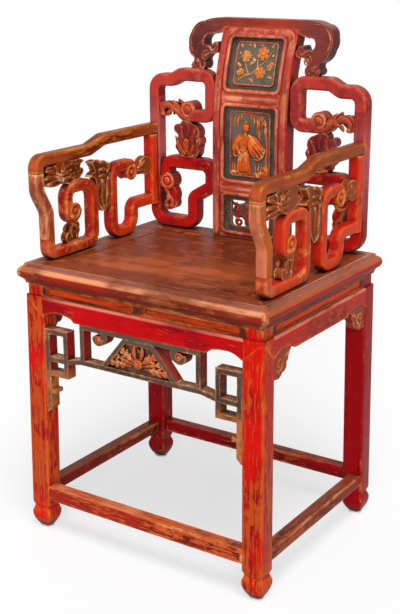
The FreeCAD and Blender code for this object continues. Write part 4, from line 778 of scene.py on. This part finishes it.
def figure(bm):
    """A calm standing figure in a long robe, one wide sleeve swept aside, under a willow."""
    cut, knob = chisels(bm, on_field)
    # the robe's skirt in hanging folds, and its hem
    for top, foot, width in (
        (-20, -27, 3.6), (-17, -21, 4.4), (-13, -14, 4.8), (-9, -7, 4.6), (-5, 0, 4.0),
    ):
        cut([(top, 712, 1.0), ((top * 2 + foot) / 3, 692, 1.8), (foot, 668, 1.0)], [3.0, width, width],
            [3.2, 3.8, 2.8], 0.2)
    cut([(-30, 668, 0.6), (-14, 664, 1.0), (3, 668, 0.6)], [1.6, 2.4, 1.6], [2.0, 2.8, 2.0])
    # shoes, bodice, sash
    knob(-20, 661.5, 0.4, 5.0, 2.4, 0.5)
    knob(-8, 661.5, 0.4, 5.0, 2.4, 0.5)
    cut([(-10, 740, 1.2), (-12, 726, 2.2), (-13, 710, 1.6)], [8.0, 11.0, 9.0], [3.0, 4.8, 3.8])
    for top, foot in ((-17, -19), (-14.5, -15), (-7.5, -9), (-5, -5)):
        cut([(top, 738, 3.4), ((top + foot) / 2, 725, 5.8), (foot, 712, 4.6)], [0.8, 1.3, 0.9],
            [0.9, 1.5, 1.0], around=8)
    cut([(-23, 713, 3.0), (-13, 710, 5.0), (-3, 713, 3.0)], [1.8, 2.4, 1.8], [1.6, 1.8, 1.6])
    cut([(-13, 711, 5.2), (-12, 697, 5.0), (-15, 684, 4.6)], [1.4, 1.8, 1.2], [1.2, 1.4, 1.0])
    cut([(-16, 742, 4.4), (-11, 730, 6.4), (-6, 742, 4.4)], [1.2, 1.2, 1.2], [1.0, 1.0, 1.0])
    # the hanging sleeve on one side, its folds and cuff
    cut([(-20, 739, 1.5), (-30, 727, 2.4), (-34, 713, 2.4), (-31, 702, 1.6)], [3.6, 5.2, 6.0, 4.0],
        [3.0, 3.8, 3.6, 2.4], 0.25)
    cut([(-18, 736, 3.5), (-26, 722, 4.6), (-24, 708, 4.4), (-18, 704, 4.2)], [3.0, 4.2, 4.4, 2.4],
        [2.4, 3.0, 3.0, 2.0], 0.2)
    cut([(-36, 704, 2.0), (-30, 698, 2.6), (-24, 702, 2.0)], [1.4, 2.0, 1.4], [1.4, 2.0, 1.4])
    # the wide sleeve swept out on the other side in a fan of folds
    for bend, tip, width in (
        ((15, 732), (32, 714), 4.4), ((14, 726), (33, 706), 4.6), ((12, 720), (30, 700), 4.4),
        ((8, 714), (23, 697), 4.0), ((4, 710), (14, 698), 3.6),
    ):
        cut([(-4, 739, 2.0), (*bend, 3.4), (*tip, 1.4)], [3.4, width, 1.8], [3.0, 3.6, 1.6], 0.25)
    cut([(34, 717, 1.4), (31, 703, 2.2), (20, 694, 2.0), (10, 695, 1.6)], [1.2, 2.2, 2.2, 1.0],
        [1.4, 2.4, 2.4, 1.2])
    # head: a smooth oval with brows, nose and lips, the hair drawn up in a knot
    cut([(-9, 739, 2.4), (-8, 745, 3.0)], [3.2, 3.2], [3.0, 3.0])
    middle, brows, lips = -7.5, 754.4, 746.5
    knob(middle, 751.4, 2.8, 6.1, 5.2, 1.24)
    knob(middle, 756.4, 2.4, 6.7, 5.4, 0.86)
    knob(middle, 764.2, 2.4, 3.6, 3.8, 0.9)
    cut([(-13.6, 760.4, 3.0), (middle, 761.4, 6.4), (-1.4, 760.4, 3.0)], [1.0, 1.2, 1.0], [0.9, 1.1, 0.9])
    cut([(middle, brows - 0.8, 7.6), (middle, 751.2, 8.5), (middle, 749.4, 8.1)], [0.6, 0.7, 1.1],
        [0.6, 1.0, 1.0], around=8)
    for side in (-1, 1):
        brow = [(middle + side * 1.2, brows, 7.6), (middle + side * 3.9, brows - 0.2, 6.5)]
        cut(brow, [0.55, 0.45], [0.6, 0.5], around=8)
        knob(middle + side * 2.4, brows - 1.9, 7.4, 1.05, 0.7, 0.6)
        knob(middle + side * 6.0, 751.2, 3.0, 1.3, 2.0, 1.7)
    cut([(middle - 1.8, lips + 0.3, 7.2), (middle, lips, 7.8), (middle + 1.8, lips + 0.3, 7.2)],
        [0.5, 0.7, 0.5], [0.5, 0.7, 0.5], around=8)
    # the willow: a leaning trunk, boughs and hanging fronds
    cut([(40, 666), (36, 690), (38, 722), (34, 748), (34, 766), (24, 778)],
        [2.8, 2.2, 1.9, 1.7, 1.4, 0.8], [2.2, 2.2, 2.0, 1.8, 1.5, 1.0], 0.2)
    cut([(33, 762), (16, 775), (-4, 781), (-24, 779)], [1.4, 1.3, 1.1, 0.6], [1.6, 1.4, 1.2, 0.8])
    for u, v, fall, sway in (
        (-30, 779, 26, -4), (-23, 780, 30, -4), (-17, 781, 14, -2), (0, 781, 16, 3), (6, 780, 26, 4),
        (12, 777, 36, 5), (17, 776, 30, 3), (23, 778, 24, 4), (30, 768, 34, 6), (28, 752, 22, -7),
        (22, 760, 26, -2),
    ):
        cut([(u, v), (u + sway, v - fall * 0.45), (u + sway * 0.6, v - fall)], [0.8, 1.7, 0.4],
            [0.8, 1.7, 0.5], 0.2, around=8)
    # rocks and grasses at the foot
    for u, v, radius, height, flat in (
        (28, 666, 12, 3.0, 0.6), (14, 664, 9, 2.4, 0.6), (-36, 666, 7, 2.4, 0.7), (35, 677, 7, 2.4, 0.8),
    ):
        knob(u, v, -0.6, radius, height, flat)
    for u, lean in ((14, -3), (19, 2), (24, 5), (-38, -2), (-34, 3)):
        cut([(u, 666), (u + lean * 0.4, 678), (u + lean, 688)], [0.9, 1.6, 0.4],
            [1.0, 1.6, 0.5], around=8)


carving("figure_relief", relief, "panel_paint", figure)


def pierced_scrolls(bm):
    """Leaf scrolls that fill the pierced panel, cut through and rounded on both faces."""
    sunk, rosette_sunk = 11.0, 9.0
    for side in (-1, 1):
        def put(u, v, w):
            return back_face(side * u, v, w - sunk)

        cut = partial(strand, bm, put)
        cut([(2, 560), (10, 574), (20, 580), (32, 577), (44, 585)], [3.0, 4.6, 4.2, 4.0, 2.0],
            [3.4, 4.4, 4.2, 3.6, 2.4], 0.3)
        cut(spiral(27, 592, 10, 2.5, 0.75, 1.35), [3.2, 3.0, 2.0], [3.4, 3.6, 3.2])
        cut(spiral(26, 566, 8, 2.2, 0.25, -1.3), [2.8, 2.6, 1.8], [3.0, 3.2, 3.0])
        cut([(5, 578), (10, 592), (6, 610)], [2.0, 4.6, 1.2], [2.6, 4.0, 2.0], 0.4)
        cut([(30, 604), (38, 601), (44, 608)], [1.4, 3.0, 1.2], [2.2, 3.0, 1.6], 0.3)
    petals(bm, lambda u, v, w: back_face(u, v, w - rosette_sunk), 0, 584, 0, 5, 9, 3.8, 3.2, 0.25)


scroll = lacquer("scroll_lacquer", EVEN, skin=(158, 50, 44), cloud=(90, 24, 28), wear=0.06, reach=0.003)
carving("pierced_scrolls", scroll, "panel_paint", pierced_scrolls)

# Crest: one board bent with the frame, its ends hooked down on the flanks,
# the lacquer faded to a brown mauve.
crest = lacquer("crest_lacquer", ALONG_X, skin=(120, 54, 46), cloud=(80, 36, 38), wear=-0.04, reach=0.006,
                chips=-0.04, ground=(180, 86, 56), wood=(214, 140, 106),
                bands=((0, -1.0, 0.07, 0.035, (164, 54, 34)),),
                faces=((0, (84, 14, 18), -0.2), (2, (116, 60, 50), 0.0)))
worn("crest_rail", crest, soft=0.0025)
crest_carved = lacquer("crest_carved_lacquer", EVEN, skin=(132, 60, 50), cloud=(86, 38, 38), wear=0.04,
                       deep=0.008, ground=(200, 104, 68), wood=(226, 156, 122), reach=0.004)


def crest_scrolls(bm):
    """Buttons, lips and lobes carved on the hooked ends."""
    eye_u, eye_v = 112, 884
    for side in (-1, 1):
        def put(u, v, w):
            return back_face(side * u, v, w)

        cut, knob = chisels(bm, put)
        knob(eye_u, eye_v, -0.5, 4.6, 3.4)
        cut(spiral(eye_u, eye_v, 9.5, 6.0, 0.35, -0.9), [1.4, 1.4, 1.0], [1.4, 1.6, 1.2])
        cut([(90, 901), (99, 894), (108, 901), (121, 900)], [1.0, 2.4, 2.2, 1.0], [1.0, 1.8, 1.8, 1.0])
        for u, v, radius in ((125, 868, 6.5), (135, 865, 5.5), (120, 861, 4.5), (130, 874, 5.0)):
            knob(u, v, -2.0, radius, 5.0)
        cut([(142, 889), (149, 902), (152, 918), (147, 932), (134, 944), (112, 949)],
            [0.6, 1.6, 1.8, 1.8, 1.6, 0.6], [0.6, 1.2, 1.4, 1.4, 1.2, 0.6])


carving("crest_scrolls", crest_carved, "red_lacquer", crest_scrolls)

# Flanks: strands bent round in two loops each side of the frame, salmon
# above, redder below, with rolled eyes, tails and a bud between them.
flank_joints = ((2, 0.8), (2, 0.6))
BENT = (0.4, 0.4, 0.4)
inner_side = (0, (132, 14, 18), -0.05)
upper_loop = lacquer("flank_lacquer_upper", BENT, skin=(186, 60, 50), cloud=(134, 36, 44), wear=0.06,
                     ground=(212, 96, 60), faces=(inner_side, (2, (124, 56, 42), 0.06)),
                     calm=flank_joints)
lower_loop = lacquer("flank_lacquer_lower", BENT, skin=(180, 24, 18), cloud=(128, 14, 24), wear=0.06,
                     faces=(inner_side, (2, (124, 50, 40), 0.06)), calm=flank_joints)
# A mauve-salmon band painted on the posts between the loops: a painted sheen.
flank_post = lacquer("flank_lacquer_post", ALONG_Z, skin=(160, 42, 40), cloud=(116, 22, 36), wear=0.06,
                     faces=((0, (156, 14, 18), 0.0),), calm=flank_joints,
                     bands=((2, 0.63, 0.78, 0.05, (180, 86, 84)),))
bud_lacquer = lacquer("bud_lacquer", EVEN, skin=(136, 44, 38), cloud=(84, 24, 28), ground=(196, 90, 56),
                      wood=(228, 150, 112), wear=0.08, reach=0.004, deep=0.012)
curl = lacquer("curl_lacquer", EVEN, skin=(186, 76, 44), cloud=(126, 44, 36), ground=(214, 112, 62),
               wood=(234, 166, 120), wear=0.04, reach=0.004, deep=0.01)
for side in ("left_flank_", "right_flank_"):
    worn(side + "post", flank_post, soft=0.0025)
    worn(side + "upper_loop", upper_loop, soft=0.0025)
    worn(side + "lower_loop", lower_loop, soft=0.0025)
    worn(side + "bud", bud_lacquer, soft=0.004)


def flank_faces(middle=0.0, sunk=0.0):
    """Places on the fronts and backs of both flanks; u runs outwards, w out from the wood."""
    front, rear = 155.97, 183.97
    for side in (-1, 1):
        for face in (-1, 1):
            def put(u, v, w):
                out = w - sunk
                return Vector((side * (middle + u), front - out if face < 0 else rear + out, v)) / 1000

            yield put


def flank_eyes(bm, upper_ones):
    """The rolled eyes of the flanks' loops, with the tails and leaves that leave them."""
    for put in flank_faces():
        cut, knob = chisels(bm, put)
        if upper_ones:
            eye_u, eye_v = 145.5, 778.3
            knob(eye_u, eye_v, 0, 8.0, 3.6)
            cut(spiral(eye_u, eye_v, 13.6, 10.6, 0.7, 1.1), [2.6, 2.6, 1.6], [1.6, 1.9, 1.2])
            cut([(142, 758, -3), (160, 764, -2), (178, 777, -2), (196, 784, -2), (208, 776, -3),
                 (207, 766, -4)], [3.0, 5.0, 6.0, 6.2, 5.6, 4.0], [3.0, 4.0, 4.4, 4.6, 4.0, 3.4], 0.3)
            cut([(160, 772, -2), (174, 784, -2), (184, 794, -3)], [3.0, 5.4, 2.0], [3.0, 4.4, 2.4], 0.3)
            cut([(180, 776, -2), (192, 770, -2), (196, 762, -3)], [2.4, 4.4, 2.0], [3.0, 3.6, 2.0], 0.25)
            knob(206, 765, -3, 4.6, 4.6)
        else:
            eye_u, eye_v = 198.4, 630.5
            knob(eye_u, eye_v, 0, 8.0, 3.4)
            cut(spiral(eye_u, eye_v, 15.0, 11.0, 0.2, 1.1), [2.6, 2.6, 1.6], [1.6, 1.9, 1.2])
            cut([(204, 614, -3), (197, 604, -3), (198, 592, -3), (206, 584, -4)], [3.0, 4.4, 4.0, 1.6],
                [2.4, 3.4, 3.0, 1.4], 0.25)
            cut([(196, 600, -3), (188, 592, -3), (186, 582, -3)], [2.6, 4.4, 2.0], [2.4, 3.2, 2.0], 0.25)
            knob(189, 579, -3, 5.4, 4.6)
            knob(199, 578, -3, 4.0, 3.6)


carving("upper_flank_eyes", curl, "red_lacquer", lambda bm: flank_eyes(bm, True))
carving("lower_flank_eyes", curl, "red_lacquer", lambda bm: flank_eyes(bm, False))
BUD_MIDDLE = 149


def buds(bm):
    """A half-open flower on each flank: folded petals round a rolled heart."""
    for put in flank_faces(BUD_MIDDLE, sunk=2.5):
        cut = partial(strand, bm, put)
        cut([(-4, 686), (-16, 694), (-22, 708), (-25, 722)], [3.0, 6.0, 5.4, 0.8],
            [3.0, 5.0, 4.6, 1.4], 0.3)
        cut([(4, 686), (16, 696), (20, 710), (29, 724)], [3.0, 6.4, 5.6, 0.8], [3.0, 5.6, 5.0, 1.4], 0.3)
        cut([(-2, 690), (-10, 704), (-12, 722), (-20, 742)], [3.0, 6.6, 6.2, 1.0],
            [3.6, 6.0, 5.4, 1.4], 0.35)
        cut([(2, 690), (12, 704), (14, 724), (12, 744)], [3.0, 7.0, 7.0, 2.6], [3.6, 6.4, 6.0, 2.4], 0.35)
        cut([(-2, 726), (-3, 740), (2, 752)], [3.4, 5.6, 3.4], [3.0, 4.6, 3.0], 0.25)
        cut([(-20, 690), (-8, 684), (8, 684), (20, 690)], [1.6, 3.4, 3.4, 1.6], [2.4, 4.4, 4.4, 2.4])


carving("flank_buds", bud_lacquer, "red_lacquer", buds)
heart = lacquer("heart_lacquer", EVEN, skin=(190, 74, 30), cloud=(124, 40, 24), ground=(222, 120, 52),
                wood=(238, 168, 104), wear=0.06, reach=0.004, deep=0.01)


def bud_hearts(bm):
    """The rolled hearts of the flowers, with two bright petals round each."""
    eye_v = 713
    for put in flank_faces(BUD_MIDDLE, sunk=1.0):
        cut, knob = chisels(bm, put)
        cut([(-2, 688), (-13, 698), (-15, 712)], [3.0, 5.4, 2.0], [3.0, 4.6, 2.4], 0.3)
        cut([(2, 688), (13, 700), (18, 716)], [3.0, 5.4, 2.0], [3.0, 4.6, 2.4], 0.3)
        cut([(0, 692), (1, 706), (0, 718)], [5.0, 8.0, 5.0], [4.0, 6.0, 4.6])
        knob(0, eye_v, 1.0, 7.4, 5.4)
        roll = [(u, v, 5.0) for u, v in spiral(0, eye_v, 6.6, 2.0, 0.3, 1.2)]
        cut(roll, [1.6, 1.6, 1.2], [1.6, 1.8, 1.6])


carving("bud_hearts", heart, "red_lacquer", bud_hearts)

# Arms: a bent post and a stepped rail, brown and rubbed orange, over two
# rolled loops in red, with carved leaves in the gaps between them.
arm_joints = ((2, 0.7112), (2, 0.5746))
arm_post = lacquer("arm_post_lacquer", ALONG_Z, skin=(204, 88, 54), cloud=(132, 54, 44),
                   ground=(224, 142, 92), wood=(242, 194, 156), wear=0.12, calm=arm_joints,
                   faces=((0, (186, 88, 22), 0.02), (1, (212, 116, 80), 0.03)),
                   bands=((2, 0.694, 0.76, 0.012, (158, 78, 34)),))
arm_rail = lacquer("arm_rail_lacquer", ALONG_Y, skin=(148, 64, 20), cloud=(84, 34, 14),
                   ground=(208, 106, 34), wood=(228, 150, 80), wear=0.04, edge=2.0, reach=0.008,
                   sheen=0.05, faces=((2, (132, 60, 26), 0.0),), calm=arm_joints,
                   bands=((2, 0.70, 0.722, 0.01, (182, 82, 42)),))
rear_loop = lacquer("arm_loop_lacquer", BENT, skin=(190, 34, 18), cloud=(124, 14, 24),
                    ground=(218, 92, 30), wood=(238, 160, 104), wear=0.1, edge=1.7, calm=arm_joints,
                    faces=((0, (206, 58, 18), 0.08),))
front_loop = lacquer("arm_foot_lacquer", BENT, skin=(192, 46, 24), cloud=(122, 18, 24),
                     ground=(218, 100, 38), wood=(240, 176, 132), wear=0.14, edge=1.7, calm=arm_joints,
                     faces=((0, (204, 62, 18), 0.1),), bands=((1, -0.25, -0.166, 0.008, (200, 92, 58)),))
leaf = lacquer("arm_leaf_lacquer", EVEN, skin=(140, 64, 28), cloud=(76, 32, 18), ground=(206, 112, 48),
               wood=(236, 188, 146), wear=0.1, edge=1.7, reach=0.004, sheen=0.05, deep=0.01)
for side in ("left_arm_", "right_arm_"):
    worn(side + "front_post", arm_post, soft=0.003)
    worn(side + "top_rail", arm_rail, "orange_lacquer", 0.004)
    worn(side + "front_loop", front_loop, soft=0.003)
    worn(side + "rear_loop", rear_loop, soft=0.003)
    worn(side + "rear_upright", rear_loop, soft=0.002, flat=0.0)
    worn(side + "leaves", leaf, "orange_lacquer", 0.002)


def arm_faces(sunk=0.0):
    """Places on the outer and inner faces of both arms; u runs backwards along the chair."""
    outer, inner = 242.5, 218.5
    for side in (-1, 1):
        for face in (-1, 1):
            def put(u, v, w):
                out = w - sunk
                return Vector((side * (outer + out if face > 0 else inner - out), u, v)) / 1000

            yield put


def arm_eyes(bm):
    """The rolled eyes of the arms' front and rear loops."""
    for put in arm_faces():
        cut, knob = chisels(bm, put)
        for u, v, start, turns in ((-111.9, 616.4, 0.55, 1.1), (63.9, 661.7, 0.2, -1.1)):
            knob(u, v, 0, 6.6, 4.4)
            cut(spiral(u, v, 14.6, 9.0, start, turns * 1.3), [3.4, 3.6, 2.2], [2.2, 3.0, 1.8], 0.25)


eye = lacquer("arm_eye_lacquer", EVEN, skin=(204, 86, 26), cloud=(146, 42, 22), ground=(222, 120, 48),
              wood=(240, 176, 116), wear=0.04, reach=0.004, deep=0.008)
carving("arm_eyes", eye, "red_lacquer", arm_eyes)


def arm_leaf_faces(bm):
    """Leaf blades with hollow veins over both faces of the carved leaves."""
    blades = (
        (5.0, (-152, 690), (-170, 698), (-186, 701)), (5.4, (-152, 686), (-170, 688), (-189, 686)),
        (4.6, (-152, 682), (-168, 678), (-184, 676)), (5.4, (-146, 690), (-128, 700), (-110, 706)),
        (4.8, (-146, 686), (-128, 690), (-112, 694)), (4.6, (-146, 682), (-130, 680), (-116, 681)),
        (4.6, (-156, 690), (-154, 700), (-160, 709)), (4.6, (-142, 690), (-140, 700), (-134, 709)),
        (4.2, (-148, 684), (-140, 676), (-134, 670)),
        (7.0, (-18, 602), (-22, 622), (-20, 644), (-26, 664)),
        (6.4, (-14, 606), (-10, 626), (-8, 648), (-6, 664)), (4.6, (-10, 664), (-22, 668), (-36, 668)),
        (4.8, (-8, 676), (-22, 680), (-34, 680)), (4.8, (-6, 686), (-18, 692), (-33, 695)),
        (4.4, (-10, 672), (-2, 682), (-4, 692)), (4.6, (88, 664), (102, 668), (114, 676)),
        (5.0, (88, 660), (102, 658), (116, 654)), (5.4, (-112, 590), (-120, 580), (-118, 566)),
        (5.0, (-108, 590), (-102, 578), (-106, 564)),
    )
    for put in arm_faces(sunk=4.5):
        for width, *spine in blades:
            inner = len(spine) - 2
            profile = [1.6] + [width] * inner + [0.8]
            strand(bm, put, spine, profile, [2.4] + [4.6] * inner + [1.2], 0.4)
        petals(bm, put, -149, 686, 1.5, 5, 7.5, 3.4, 3.4, 0.1)


carving("arm_leaf_faces", leaf, "orange_lacquer", arm_leaf_faces)
